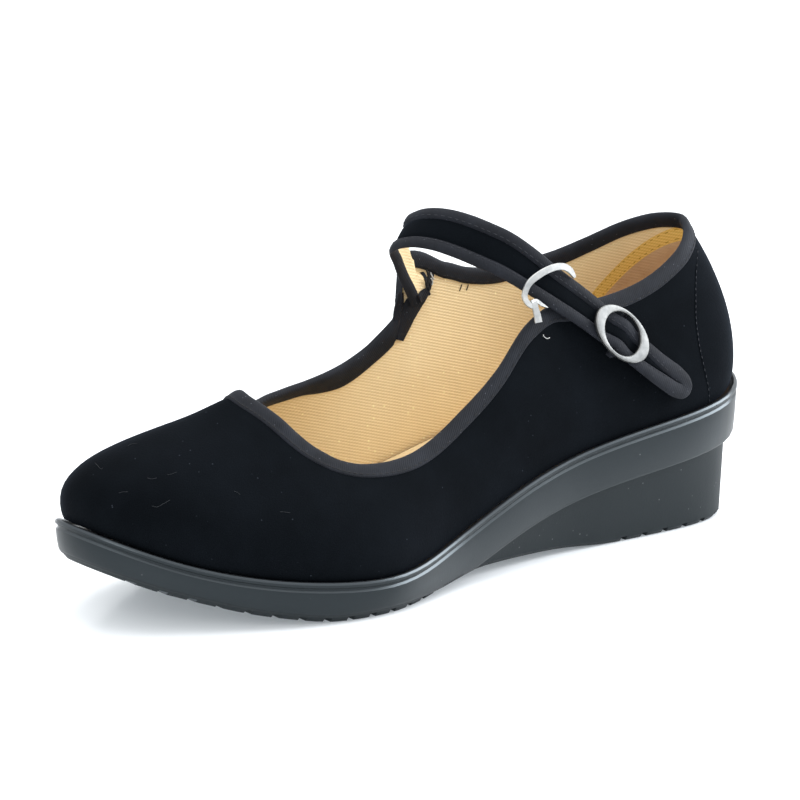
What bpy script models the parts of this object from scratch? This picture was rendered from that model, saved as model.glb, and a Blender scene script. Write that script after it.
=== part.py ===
"""Chinese cloth shoe, left foot: a black velvet bar shoe on a moulded wedge sole.

Toe towards -X, heel towards +X, buckle side (the wearer's outer side) towards -Y, floor at Z = 0.
Every form is worked out from the named sizes and the short tables of shares below.
"""

import math

import bmesh
import bpy
import numpy as np
from mathutils import Matrix, Vector

# Driving sizes of the last and the sole, in metres
SOLE_LENGTH = 0.245
BALL_WIDTH = 0.0842
HEEL_WIDTH = 0.0592
TOE_SPRING = 0.0182
FOREFOOT_SOLE = 0.0124
HEEL_HEIGHT = 0.0444
ARCH_RISE = 0.0030
QUARTER_HEIGHT = 0.0520

# Sole side: a bead round the rim, a smooth band, and a wedge block set in under the band
BEAD = 0.0018
TOE_BAND = 0.0135
HEEL_BAND = 0.0160
BAND_TAPER = 0.0012
STEP_DEPTH = 0.0022
BLOCK_TAPER = 0.0024
FOREFOOT_TAPER = 0.0034
STEP_ROUND = 0.0004
FEATHER = 0.0022
EDGE_ROUND = 0.0011
BAND_LIP = 0.3
FOOT_ROLL = 0.8

# Tread lugs of the forefoot and the heel
GROOVE_WIDTH = 0.0022
GROOVE_DEPTH = 0.0014
LUG_PITCH = 0.0072
TREAD_LINE = 0.0018
GROOVE_REACH = 1.4

# Cloth parts
WALL = 0.0020
BINDING_HEIGHT = 0.0048
BINDING_PROUD = 0.0004
BINDING_SEAM = 0.0006
INSOLE_THICKNESS = 0.0026
INSOLE_FIT = 0.0006
STRAP_WIDTH = 0.0150
STRAP_THICKNESS = 0.0022
STRAP_TIP = 0.0060
TIP_BLUNT = 0.04

# Strap over the instep: how far it stands up and forward of the straight line between its seats
STRAP_RISE = 0.0222
STRAP_REACH = 0.0176

# Slider ring on the strap's tail, with a bar across its back
RING_LENGTH = 0.0224
RING_WIDTH = 0.0161
RING_HOLE_LENGTH = 0.0148
RING_HOLE_WIDTH = 0.0128
RING_THICKNESS = 0.0011
RING_BAR_WIDTH = 0.0020
RING_BAR_THICKNESS = 0.0010
RING_MARGIN = 0.0002
RING_GAP = 0.0006
STRAP_BULGE = 0.0015
GATHER_REACH = 0.42

# Hook buckle: an arch over the strap, a bar behind it and a foot that hooks on the topline
HOOK_SPAN = 0.0228
HOOK_BULGE = 0.0072
HOOK_BAND = 0.0015
HOOK_THICKNESS = 0.0010
HOOK_TURN = 40.0
HOOK_FOOT_WIDTH = 0.0024
HOOK_FOOT_LENGTH = 0.0064
HOOK_FOOT_LEVEL = -0.0003
HOOK_GAP = 0.0011

# Edges of the metal, as a share of its thickness
METAL_CHAMFER = 0.25

CLEARANCE = 0.0003

# How far the throat lies from the walking line, as a share of the ball's width
THROAT_OFFSET = -0.012
LEAN_BIAS = 0.004

# Where, along the sole, its width passes from the ball's to the heel's, the block's step rises,
# the side's slope changes, and the throat's offset fades
WIDTH_CHANGE = (0.30, 0.70)
STEP_START = (0.37, 0.47)
SLOPE_CHANGE = (0.34, 0.50)
THROAT_FADE = (0.15, 0.60)

# Fineness of the facets
SIDE_STEPS = 58
RIB_STEPS = 50
RIB_ROWS = 7
RIB_SAMPLES = 41
STRAP_STEPS = 48
RING_STEPS = 36
HOOK_STEPS = 20

# Small steps, as shares of a run, between which slopes and normals are measured
RIM_STEP = 0.002
SLOPE_STEP = 0.005
WALL_STEP = 0.004
RUN_STEP = 0.004
WALL_PROBE = 0.001

# Rim outline: half widths to each side of the walking line, as shares of the width there
OUTLINE = (
    # along, lateral, medial
    (0.000, -0.050, 0.050),
    (0.020, 0.128, 0.196),
    (0.061, 0.245, 0.297),
    (0.122, 0.350, 0.374),
    (0.204, 0.472, 0.433),
    (0.286, 0.541, 0.459),
    (0.360, 0.550, 0.456),
    (0.449, 0.508, 0.427),
    (0.551, 0.508, 0.402),
    (0.653, 0.514, 0.421),
    (0.755, 0.518, 0.456),
    (0.857, 0.515, 0.480),
    (0.931, 0.450, 0.430),
    (0.976, 0.290, 0.285),
    (1.000, 0.000, 0.000),
)

# Height of the rim of the sole, as shares of the three sizes that lift it
RIM = (
    # along, forefoot_sole, heel_height, toe_spring
    (0.000, 1.00, 0.000, 1.00),
    (0.102, 1.00, 0.000, 0.42),
    (0.245, 1.00, 0.000, 0.04),
    (0.408, 1.00, 0.025, 0.00),
    (0.571, 0.40, 0.474, 0.00),
    (0.735, 0.00, 0.790, 0.00),
    (0.878, 0.00, 0.890, 0.00),
    (1.000, 0.00, 1.000, 0.00),
)

# Height of the underside: toe spring, flat tread, shallow arch, flat heel
UNDERSIDE = (
    # along, toe_spring, arch_rise
    (0.000, 1.00, 0.0),
    (0.082, 0.57, 0.0),
    (0.184, 0.17, 0.0),
    (0.276, 0.00, 0.0),
    (0.410, 0.00, 0.0),
    (0.530, 0.00, 1.0),
    (0.640, 0.00, 0.7),
    (0.750, 0.00, 0.0),
    (1.000, 0.00, 0.0),
)

# Where the tread is grooved: under the forefoot and under the heel
TREAD_RUNS = (
    # start, end, along the sole
    (0.045, 0.430),
    (0.760, 0.965),
)

# Section of the rim bead from the ledge that the upper stands on, over and down to its groove
BEAD_SECTION = (
    # inset, drop
    (0.95, 0.67),
    (0.90, 0.30),
    (0.62, 0.02),
    (0.25, 0.08),
    (0.02, 0.42),
    (0.05, 0.80),
    (0.42, 1.12),
    (0.45, 1.38),
    (0.12, 1.70),
)
LEDGE_INSET = BEAD_SECTION[0][0] * BEAD
LEDGE_DROP = BEAD_SECTION[0][1] * BEAD
UPPER_INSET = LEDGE_INSET + CLEARANCE

# Section of the bias binding: how far out of the wall's middle, and how far below the topline
BINDING_SECTION = (
    # out, down
    (1.00, 1.00),
    (1.00, 0.34),
    (0.72, 0.09),
    (0.00, 0.00),
    (-0.72, 0.09),
    (-1.00, 0.34),
    (-1.00, 1.00),
)

# Section of the insole's edge, as shares of its thickness
INSOLE_SECTION = (
    # inset, rise
    (0.00, 0.00),
    (0.00, 0.70),
    (0.23, 1.00),
)

# Ribs of the upper on each side: where each starts on the rim, where it meets the topline
LATERAL_RIBS = (
    # foot, along, across, height, swell, lean, low, high
    (0.000, 0.240, 0.000, 0.620, 16.0, 58.0, 0.38, 0.31),
    (0.020, 0.245, 0.071, 0.624, 16.0, 58.0, 0.38, 0.32),
    (0.061, 0.257, 0.145, 0.648, 16.0, 58.0, 0.37, 0.33),
    (0.122, 0.274, 0.217, 0.640, 15.0, 59.0, 0.36, 0.36),
    (0.204, 0.300, 0.283, 0.610, 13.0, 58.0, 0.36, 0.39),
    (0.286, 0.336, 0.333, 0.583, 11.0, 54.0, 0.35, 0.40),
    (0.360, 0.384, 0.361, 0.582, 9.0, 46.0, 0.35, 0.37),
    (0.449, 0.449, 0.369, 0.582, 5.0, 34.0, 0.35, 0.35),
    (0.551, 0.547, 0.358, 0.712, 2.0, 22.0, 0.34, 0.34),
    (0.620, 0.616, 0.332, 0.883, 1.0, 18.0, 0.33, 0.33),
    (0.690, 0.682, 0.321, 0.843, 0.0, 16.0, 0.33, 0.33),
    (0.755, 0.743, 0.312, 0.801, 0.0, 15.0, 0.33, 0.33),
    (0.857, 0.824, 0.299, 0.820, 1.0, 16.0, 0.33, 0.33),
    (0.931, 0.888, 0.236, 0.904, 6.0, 24.0, 0.36, 0.36),
    (0.976, 0.918, 0.134, 0.958, 8.0, 30.0, 0.38, 0.37),
    (1.000, 0.934, 0.000, 0.977, 8.0, 31.0, 0.38, 0.37),
)
MEDIAL_RIBS = (
    # foot, along, across, height, swell, lean, low, high
    (0.000, 0.240, 0.000, 0.620, 16.0, 58.0, 0.38, 0.31),
    (0.020, 0.248, 0.062, 0.612, 16.0, 57.0, 0.38, 0.30),
    (0.061, 0.264, 0.116, 0.628, 15.0, 54.0, 0.36, 0.32),
    (0.122, 0.287, 0.170, 0.670, 13.0, 53.0, 0.34, 0.34),
    (0.204, 0.317, 0.222, 0.710, 8.0, 50.0, 0.34, 0.37),
    (0.286, 0.359, 0.268, 0.756, 7.0, 48.0, 0.35, 0.40),
    (0.360, 0.416, 0.299, 0.785, 5.0, 38.0, 0.35, 0.37),
    (0.449, 0.494, 0.343, 0.809, 3.0, 24.0, 0.35, 0.35),
    (0.520, 0.547, 0.374, 0.890, 2.0, 14.0, 0.34, 0.34),
    (0.565, 0.580, 0.392, 1.009, 1.0, 9.0, 0.33, 0.33),
    (0.610, 0.614, 0.408, 1.071, 0.0, 7.0, 0.33, 0.33),
    (0.660, 0.661, 0.417, 0.962, 0.0, 7.0, 0.33, 0.33),
    (0.720, 0.714, 0.416, 0.890, 0.0, 8.0, 0.33, 0.33),
    (0.790, 0.771, 0.399, 0.872, 0.0, 10.0, 0.33, 0.33),
    (0.857, 0.820, 0.372, 0.884, 1.0, 12.0, 0.33, 0.33),
    (0.931, 0.883, 0.247, 0.967, 6.0, 24.0, 0.36, 0.36),
    (0.976, 0.915, 0.131, 0.989, 8.0, 30.0, 0.38, 0.37),
    (1.000, 0.934, 0.000, 0.977, 8.0, 31.0, 0.38, 0.37),
)
# The strap: its seat inside the inner side, its arch over the instep, its tail down the outer side
STRAP_ROOT = (
    # foot, down
    (0.592, 0.175),
    (0.582, 0.090),
    (0.572, 0.005),
)
STRAP_ARCH = (
    # across, forward, lift, face_turn, face_tip
    (0.003, 0.22, 0.27, 10.0, 14.0),
    (0.033, 0.52, 0.58, 20.0, 30.0),
    (0.118, 0.90, 0.86, 42.0, 42.0),
    (0.241, 1.02, 0.97, 84.0, 46.0),
    (0.379, 1.02, 1.00, 106.0, 46.0),
    (0.509, 0.98, 0.95, 118.0, 44.0),
    (0.632, 0.93, 0.86, 128.0, 40.0),
    (0.759, 0.84, 0.73, 137.0, 33.0),
    (0.868, 0.71, 0.55, 146.0, 23.0),
    (0.944, 0.47, 0.32, 154.0, 12.0),
)
STRAP_TAIL = (
    # foot, down, stand_off
    (0.702, 0.010, 0.10),
    (0.730, 0.128, 0.18),
    (0.762, 0.276, 0.20),
    (0.792, 0.426, 0.20),
    (0.822, 0.580, 0.18),
    (0.851, 0.722, 0.12),
)
STRAP_SHARES = (
    # at, width
    (0.00, 1.00),
    (0.42, 1.00),
    (0.566, 0.86),
    (0.69, 0.82),
    (0.82, 0.74),
    (1.00, 0.70),
)
STRAP_SECTION = (
    # across, out: shares of half the width and of the bound edge's half thickness
    (-1.00, 0.00),
    (-0.94, 0.85),
    (-0.72, 1.00),
    (-0.50, 0.80),
    (0.50, 0.80),
    (0.72, 1.00),
    (0.94, 0.85),
    (1.00, 0.00),
    (0.92, -0.90),
    (-0.92, -0.90),
)
RING_AT = 0.772
HOOK_AT = 0.566

SIDES = {
    "lateral": (-1.0, 1, LATERAL_RIBS),
    "medial": (1.0, 2, MEDIAL_RIBS),
}


def flowing(knots, values):
    """A natural cubic spline through the points, as a function."""
    knots = np.asarray(knots, float)
    values = np.asarray(values, float)
    gaps = np.diff(knots)
    slopes = np.diff(values) / gaps
    count = len(knots)
    system = np.eye(count)
    right = np.zeros(count)
    for k in range(1, count - 1):
        system[k, k - 1 : k + 2] = gaps[k - 1], 2 * (gaps[k - 1] + gaps[k]), gaps[k]
        right[k] = 6 * (slopes[k] - slopes[k - 1])
    bends = np.linalg.solve(system, right)

    def curve(at):
        at = np.clip(at, knots[0], knots[-1])
        k = np.clip(np.searchsorted(knots, at, side="right") - 1, 0, count - 2)
        gap = gaps[k]
        after = (at - knots[k]) / gap
        before = 1 - after
        sag = (before**3 - before) * bends[k] + (after**3 - after) * bends[k + 1]
        return before * values[k] + after * values[k + 1] + sag * gap**2 / 6

    return curve


def level(knots, values):
    """A cubic curve through the points that never passes above or below them."""
    knots = np.asarray(knots, float)
    values = np.asarray(values, float)
    gaps = np.diff(knots)
    slopes = np.diff(values) / gaps
    tangents = np.zeros(len(knots))
    tangents[0] = slopes[0]
    tangents[-1] = slopes[-1]
    for k in range(1, len(knots) - 1):
        if slopes[k - 1] * slopes[k] > 0:
            tangents[k] = 2 / (1 / slopes[k - 1] + 1 / slopes[k])

    def curve(at):
        at = np.clip(at, knots[0], knots[-1])
        k = np.clip(np.searchsorted(knots, at, side="right") - 1, 0, len(gaps) - 1)
        gap = gaps[k]
        t = (at - knots[k]) / gap
        start = (1 + 2 * t) * (1 - t) ** 2 * values[k] + t * (1 - t) ** 2 * gap * tangents[k]
        end = t**2 * (3 - 2 * t) * values[k + 1] + t**2 * (t - 1) * gap * tangents[k + 1]
        return start + end

    return curve


def ease(low, high, at):
    """0 below low, 1 above high, and a smooth rise between them."""
    t = np.clip((at - low) / (high - low), 0, 1)
    return t * t * (3 - 2 * t)


def turn_of(along):
    """Position round a side, 0 at the toe tip to 1 at the heel, with room at both rounded ends."""
    return np.arccos(1 - 2 * np.clip(along, 0, 1)) / math.pi


def along_of(turn):
    return (1 - np.cos(math.pi * np.asarray(turn))) / 2


def width_at(along):
    """Width that the shares of the tables refer to: the ball's in front, the heel's behind."""
    return BALL_WIDTH + (HEEL_WIDTH - BALL_WIDTH) * ease(*WIDTH_CHANGE, along)


def table_curve(table, column, make=flowing):
    """One column of a table as a curve over the turn of its first column."""
    return make([turn_of(row[0]) for row in table], [row[column] for row in table])


OUTLINE_CURVES = {side: table_curve(OUTLINE, SIDES[side][1]) for side in SIDES}
RIM_CURVES = [flowing([row[0] for row in RIM], [row[k] for row in RIM]) for k in (1, 2, 3)]
UNDERSIDE_CURVES = [
    level([row[0] for row in UNDERSIDE], [row[k] for row in UNDERSIDE]) for k in (1, 2)
]
RIB_CURVES = {
    side: [table_curve(SIDES[side][2], column) for column in range(1, 8)] for side in SIDES
}


def half_width(side, along):
    return OUTLINE_CURVES[side](turn_of(along)) * width_at(along)


def side_shift():
    """Moves the walking line so that the sole's box is centred on Y = 0."""
    along = np.linspace(0, 1, 400)
    return (half_width("lateral", along).max() - half_width("medial", along).max()) / 2


SIDE_SHIFT = side_shift()


def rim_height(along):
    forefoot, heel, spring = (curve(along) for curve in RIM_CURVES)
    return forefoot * FOREFOOT_SOLE + heel * HEEL_HEIGHT + spring * TOE_SPRING


def underside_height(along):
    spring, arch = (curve(along) for curve in UNDERSIDE_CURVES)
    return spring * TOE_SPRING + arch * ARCH_RISE


def rim_point(side, turn):
    """Rim outline in plan at a turn of one side."""
    along = along_of(turn)
    sign = SIDES[side][0]
    x = (along - 0.5) * SOLE_LENGTH
    y = sign * half_width(side, along) + SIDE_SHIFT
    return np.stack([x, y], axis=-1)


def rim_normal(side, turn):
    """Outward direction of the rim outline in plan."""
    ahead = rim_point(side, np.clip(turn + RIM_STEP, 0, 1))
    behind = rim_point(side, np.clip(turn - RIM_STEP, 0, 1))
    run = ahead - behind
    run /= np.linalg.norm(run, axis=-1, keepdims=True)
    sign = SIDES[side][0]
    normal = np.stack([-sign * run[..., 1], sign * run[..., 0]], axis=-1)
    at_end = (np.asarray(turn) < 1e-6) | (np.asarray(turn) > 1 - 1e-6)
    tip = np.stack([np.where(np.asarray(turn) < 0.5, -1.0, 1.0), np.zeros_like(turn)], axis=-1)
    return np.where(at_end[..., None], tip, normal)


def even_turns(side, count):
    """Turns that divide one side of the rim outline into equal lengths."""
    fine = np.linspace(0, 1, 801)
    steps = np.linalg.norm(np.diff(rim_point(side, fine), axis=0), axis=1)
    length = np.concatenate([[0], np.cumsum(steps)])
    return np.interp(np.linspace(0, length[-1], count + 1), length, fine)


def loop_places(count):
    """(side, turn) round the whole rim: down the lateral side, back up the medial side."""
    lateral = even_turns("lateral", count)
    medial = even_turns("medial", count)
    places = [("lateral", turn) for turn in lateral]
    places += [("medial", turn) for turn in medial[-2:0:-1]]
    return places


def material(name, colour, roughness, metallic=0.0):
    made = bpy.data.materials.new(name)
    made.use_nodes = True
    shader = made.node_tree.nodes["Principled BSDF"]
    shader.inputs["Base Color"].default_value = (*colour, 1.0)
    shader.inputs["Roughness"].default_value = roughness
    shader.inputs["Metallic"].default_value = metallic
    made.diffuse_color = (*colour, 1.0)
    return made


def solid(name, points, faces, finish, collection):
    """A named object from points and faces, its faces turned outwards and smoothly shaded."""
    mesh = bpy.data.meshes.new(name)
    mesh.from_pydata([tuple(point) for point in points], [], faces)
    work = bmesh.new()
    work.from_mesh(mesh)
    bmesh.ops.recalc_face_normals(work, faces=work.faces)
    work.to_mesh(mesh)
    work.free()
    mesh.shade_smooth()
    mesh.set_sharp_from_angle(angle=math.radians(40))
    mesh.materials.append(finish)
    piece = bpy.data.objects.new(name, mesh)
    collection.objects.link(piece)
    return piece


def across_caps(first, count, flip):
    """Quads that close a loop of 2 * count points by joining each side's stations."""
    faces = []
    for k in range(count):
        a = first + k
        b = first + k + 1
        c = first + (2 * count - k - 1) % (2 * count)
        d = first + (2 * count - k) % (2 * count)
        face = [a, b, c, d]
        if k == 0:
            face = [a, b, c]
        if k == count - 1:
            face = [a, b, d]
        faces.append(face[::-1] if flip else face)
    return faces


def ring_loft(rings, count):
    """Points and faces of stacked loops of 2 * count points, with both ends closed across."""
    size = 2 * count
    points = np.concatenate(rings)
    faces = []
    for level_index in range(len(rings) - 1):
        low = level_index * size
        for k in range(size):
            after = (k + 1) % size
            faces.append([low + k, low + after, low + size + after, low + size + k])
    faces += across_caps(0, count, True)
    faces += across_caps((len(rings) - 1) * size, count, False)
    return points, faces


def inset_ring(places, inset, height):
    """The rim outline moved in by inset and set at a height; both are functions of along."""
    points = []
    for side, turn in places:
        along = float(along_of(turn))
        plan = rim_point(side, turn) - inset(along) * rim_normal(side, turn)
        points.append((plan[0], plan[1], height(along)))
    return np.array(points)


def band_height(along):
    return TOE_BAND + (HEEL_BAND - TOE_BAND) * along


def step_height(along):
    """Lower edge of the band, which runs out into the tread edge in front of the arch."""
    return np.maximum(rim_height(along) - band_height(along), underside_height(along) + FEATHER)


def step_depth(along):
    return STEP_DEPTH * ease(*STEP_START, along)


def base_inset(along):
    wedge = BAND_TAPER + STEP_DEPTH + BLOCK_TAPER
    return FOREFOOT_TAPER + (wedge - FOREFOOT_TAPER) * ease(*SLOPE_CHANGE, along)


def make_sole(finish, collection):
    """One moulded unit: rim bead, groove, smooth band, step, wedge block and tread."""
    places = loop_places(SIDE_STEPS)
    rings = []

    def add_ring(inset, height):
        rings.append(inset_ring(places, inset, height))

    for inset_share, drop_share in BEAD_SECTION:
        inset = inset_share * BEAD
        drop = drop_share * BEAD
        add_ring(lambda u: inset, lambda u: rim_height(u) - drop)
    groove_inset = inset
    groove_drop = drop

    def band_ring(taper, fall, lift):
        """A loop down the band: taper and fall are shares of its slope and its height."""
        add_ring(
            lambda u: groove_inset + (BAND_TAPER - groove_inset) * taper,
            lambda u: (1 - fall) * (rim_height(u) - groove_drop) + fall * step_height(u) + lift,
        )

    band_ring(0.30, 0.50, 0)
    band_ring(0.70, 1.00, EDGE_ROUND)
    band_ring(1.00, 1.00, EDGE_ROUND * BAND_LIP)

    def block_top(u):
        return BAND_TAPER + STEP_ROUND + step_depth(u)

    def block_foot(u):
        return base_inset(u) - EDGE_ROUND * FOOT_ROLL

    def tread_line(u):
        """Just above the grooves, so that they cut only a low strip of the side."""
        span = step_height(u) - underside_height(u) - EDGE_ROUND
        share = (TREAD_LINE - EDGE_ROUND) / span
        return block_foot(u) + (block_top(u) - block_foot(u)) * share

    add_ring(block_top, lambda u: step_height(u) - STEP_ROUND / 2)
    add_ring(tread_line, lambda u: underside_height(u) + TREAD_LINE)
    add_ring(block_foot, lambda u: underside_height(u) + EDGE_ROUND)
    add_ring(base_inset, underside_height)
    points, faces = ring_loft(rings[::-1], SIDE_STEPS)
    return solid("sole_unit", points, faces, finish, collection)


def cut_tread(sole, cutters):
    """Cross grooves that leave lugs under the forefoot and the heel."""
    for start, end in TREAD_RUNS:
        count = int((end - start) * SOLE_LENGTH / LUG_PITCH)
        for k in range(count + 1):
            along = start + (end - start) * k / count
            rise = underside_height(along + SLOPE_STEP) - underside_height(along - SLOPE_STEP)
            slope = math.atan2(rise, 2 * SLOPE_STEP * SOLE_LENGTH)
            bpy.ops.mesh.primitive_cube_add(size=1)
            groove = bpy.context.object
            groove.name = f"groove_{len(cutters.objects):02d}"
            groove.scale = (GROOVE_WIDTH, BALL_WIDTH * GROOVE_REACH, GROOVE_DEPTH * 2)
            groove.rotation_euler = (0, -slope, 0)
            x = (along - 0.5) * SOLE_LENGTH
            groove.location = (x, 0, float(underside_height(along)))
            groove.hide_render = True
            groove.display_type = "WIRE"
            for owner in groove.users_collection:
                owner.objects.unlink(groove)
            cutters.objects.link(groove)
    cut = sole.modifiers.new("tread grooves", "BOOLEAN")
    cut.operation = "DIFFERENCE"
    cut.operand_type = "COLLECTION"
    cut.collection = cutters
    cut.solver = "EXACT"


def rib(side, turn):
    """One rib of the upper's outer face, from its feather edge to the topline."""
    sign = SIDES[side][0]
    curves = RIB_CURVES[side]
    along, across, height, swell, lean, low, high = (float(curve(turn)) for curve in curves)
    foot = float(along_of(turn))
    normal = rim_normal(side, turn)
    start = rim_point(side, turn) - UPPER_INSET * normal
    bottom = np.array([*start, rim_height(foot) - LEDGE_DROP + CLEARANCE])
    top = np.array(
        [
            (along - 0.5) * SOLE_LENGTH,
            sign * across * width_at(foot) + SIDE_SHIFT + throat_offset(turn),
            rim_height(foot) + height * QUARTER_HEIGHT,
        ]
    )
    out = (bottom - top)[:2] + LEAN_BIAS * normal
    out /= np.linalg.norm(out)
    span = np.linalg.norm(top - bottom)
    swell = math.radians(swell)
    lean = math.radians(lean)
    rise = np.array([*(math.sin(swell) * normal), math.cos(swell)])
    fall = np.array([*(math.sin(lean) * out), -math.cos(lean)])
    near = bottom + low * span * rise
    far = top + high * span * fall
    t = np.linspace(0, 1, RIB_SAMPLES)[:, None]
    return (
        (1 - t) ** 3 * bottom + 3 * t * (1 - t) ** 2 * near + 3 * t**2 * (1 - t) * far + t**3 * top
    )


def throat_offset(turn):
    """The throat lies a little to the outer side, the heel on the walking line."""
    return THROAT_OFFSET * BALL_WIDTH * (1 - ease(*THROAT_FADE, turn))


def along_rib(points, distances):
    """Points at the given distances up a rib."""
    steps = np.linalg.norm(np.diff(points, axis=0), axis=1)
    length = np.concatenate([[0], np.cumsum(steps)])
    return np.stack([np.interp(distances, length, points[:, k]) for k in range(3)], axis=1)


def rib_length(points):
    return float(np.linalg.norm(np.diff(points, axis=0), axis=1).sum())


def surface(places, distances_of):
    """Grid of outer-face points and outward normals, one row of points for each rib."""
    grid = []
    for side, turn in places:
        points = rib(side, turn)
        grid.append(along_rib(points, distances_of(rib_length(points))))
    grid = np.array(grid)
    round_run = np.roll(grid, -1, axis=0) - np.roll(grid, 1, axis=0)
    up_run = np.gradient(grid, axis=1)
    normals = np.cross(round_run, up_run)
    normals /= np.linalg.norm(normals, axis=2, keepdims=True)
    return grid, normals


def make_upper(finish, collection):
    """The velvet upper with its lining, one hollow wall, open at the topline and underneath."""
    places = loop_places(RIB_STEPS)

    def distances(length):
        return np.linspace(0, length - BINDING_HEIGHT - BINDING_SEAM, RIB_ROWS + 1)

    grid, _ = surface(places, distances)
    ribs, rows = grid.shape[:2]
    faces = []
    for k in range(ribs):
        after = (k + 1) % ribs
        for row in range(rows - 1):
            low = k * rows + row
            side = after * rows + row
            faces.append([low, side, side + 1, low + 1])
    upper = solid("upper", grid.reshape(-1, 3), faces, finish, collection)
    wall = upper.modifiers.new("wall", "SOLIDIFY")
    wall.thickness = WALL
    wall.offset = -1
    wall.use_even_offset = True
    wall.use_quality_normals = True
    return upper


def make_binding(finish, collection):
    """The rolled tape round the topline, a little thicker than the wall it closes."""
    places = loop_places(RIB_STEPS)
    levels = sorted({down for _, down in BINDING_SECTION}, reverse=True)
    drops = np.array(levels) * BINDING_HEIGHT
    grid, normals = surface(places, lambda length: length - drops)
    half = WALL / 2 + BINDING_PROUD
    columns = []
    for out, down in BINDING_SECTION:
        row = levels.index(down)
        columns.append(grid[:, row] + normals[:, row] * (out * half - WALL / 2))
    points = np.stack(columns, axis=1)
    return closed_tube("topline_binding", points, finish, collection)


def closed_tube(name, sections, finish, collection):
    """A solid whose sections, loops of equal size, follow each other round a closed path."""
    count, size = sections.shape[:2]
    faces = []
    for k in range(count):
        after = (k + 1) % count
        for m in range(size):
            n = (m + 1) % size
            faces.append([k * size + m, k * size + n, after * size + n, after * size + m])
    return solid(name, sections.reshape(-1, 3), faces, finish, collection)


def open_tube(name, sections, finish, collection):
    """A solid whose sections follow each other along an open path, with both ends closed."""
    count, size = sections.shape[:2]
    faces = []
    for k in range(count - 1):
        for m in range(size):
            n = (m + 1) % size
            low = k * size
            faces.append([low + m, low + n, low + size + n, low + size + m])
    faces.append(list(range(size)))
    faces.append(list(range((count - 1) * size, count * size))[::-1])
    return solid(name, sections.reshape(-1, 3), faces, finish, collection)


def make_insole(finish, collection):
    """The lined sock that covers the sole inside the upper."""
    places = loop_places(RIB_STEPS)
    rings = []
    for inset_share, rise in INSOLE_SECTION:
        inset = UPPER_INSET + WALL + INSOLE_FIT + inset_share * INSOLE_THICKNESS
        lift = CLEARANCE - LEDGE_DROP + rise * INSOLE_THICKNESS
        rings.append(inset_ring(places, lambda u: inset, lambda u: rim_height(u) + lift))
    points, faces = ring_loft(rings, RIB_STEPS)
    return solid("insole", points, faces, finish, collection)


def wall_frame(side, foot, down):
    """Point of the upper's outer face below the topline, and the face's outward normal."""
    turn = float(turn_of(foot))
    rows = []
    for place in (turn - WALL_STEP, turn, turn + WALL_STEP):
        points = rib(side, place)
        reach = rib_length(points) - down
        rows.append(along_rib(points, np.array([reach - WALL_PROBE, reach, reach + WALL_PROBE])))
    upward = rows[1][2] - rows[1][0]
    onward = rows[2][1] - rows[0][1]
    normal = np.cross(onward, upward) * -SIDES[side][0]
    return rows[1][1], normal / np.linalg.norm(normal)


def strap_width(at):
    """The strap is full width over the instep and narrower towards its tip."""
    shares = level([row[0] for row in STRAP_SHARES], [row[1] for row in STRAP_SHARES])
    return shares(at) * STRAP_WIDTH


def strap_knots():
    """Centre points of the strap and the directions that its face looks in."""
    seat = CLEARANCE + BINDING_PROUD + STRAP_THICKNESS / 2
    points = []
    faces = []
    for foot, down in STRAP_ROOT:
        point, normal = wall_frame("medial", foot, down * QUARTER_HEIGHT)
        points.append(point - normal * (WALL + seat))
        faces.append(normal)
    root = points[-1]
    tail = []
    for foot, down, stand_off in STRAP_TAIL:
        point, normal = wall_frame("lateral", foot, down * QUARTER_HEIGHT)
        face = normal + stand_off * np.array([0, 0, 1])
        gap = stand_off * strap_width(1.0) / 2
        tail.append((point + normal * (seat + gap), face / np.linalg.norm(face)))
    shoulder = tail[0][0]
    for across, forward, lift, face_turn, face_tip in STRAP_ARCH:
        point = root + (shoulder - root) * across
        points.append(point + np.array([-forward * STRAP_REACH, 0, lift * STRAP_RISE]))
        turn = math.radians(face_turn)
        tip = math.radians(face_tip)
        faces.append(
            np.array(
                [-math.sin(tip), math.cos(tip) * math.cos(turn), math.cos(tip) * math.sin(turn)]
            )
        )
    for point, normal in tail:
        points.append(point)
        faces.append(normal)
    return np.array(points), np.array(faces)


def strap_frames(at):
    """Centre, run, width and face directions of the strap at shares of its length."""
    points, faces = strap_knots()
    steps = np.linalg.norm(np.diff(points, axis=0), axis=1)
    knots = np.concatenate([[0], np.cumsum(steps)])
    knots /= knots[-1]
    path = [flowing(knots, points[:, k]) for k in range(3)]
    look = [flowing(knots, faces[:, k]) for k in range(3)]
    centre = np.stack([curve(at) for curve in path], axis=-1)
    ahead = np.stack([curve(np.minimum(at + RUN_STEP, 1)) for curve in path], axis=-1)
    behind = np.stack([curve(np.maximum(at - RUN_STEP, 0)) for curve in path], axis=-1)
    run = ahead - behind
    run /= np.linalg.norm(run, axis=-1, keepdims=True)
    face = np.stack([curve(at) for curve in look], axis=-1)
    width = np.cross(face, run)
    width /= np.linalg.norm(width, axis=-1, keepdims=True)
    face = np.cross(run, width)
    return centre, run, width, face


def strap_length():
    at = np.linspace(0, 1, 200)
    centre = strap_frames(at)[0]
    return float(np.linalg.norm(np.diff(centre, axis=0), axis=1).sum())


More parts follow.
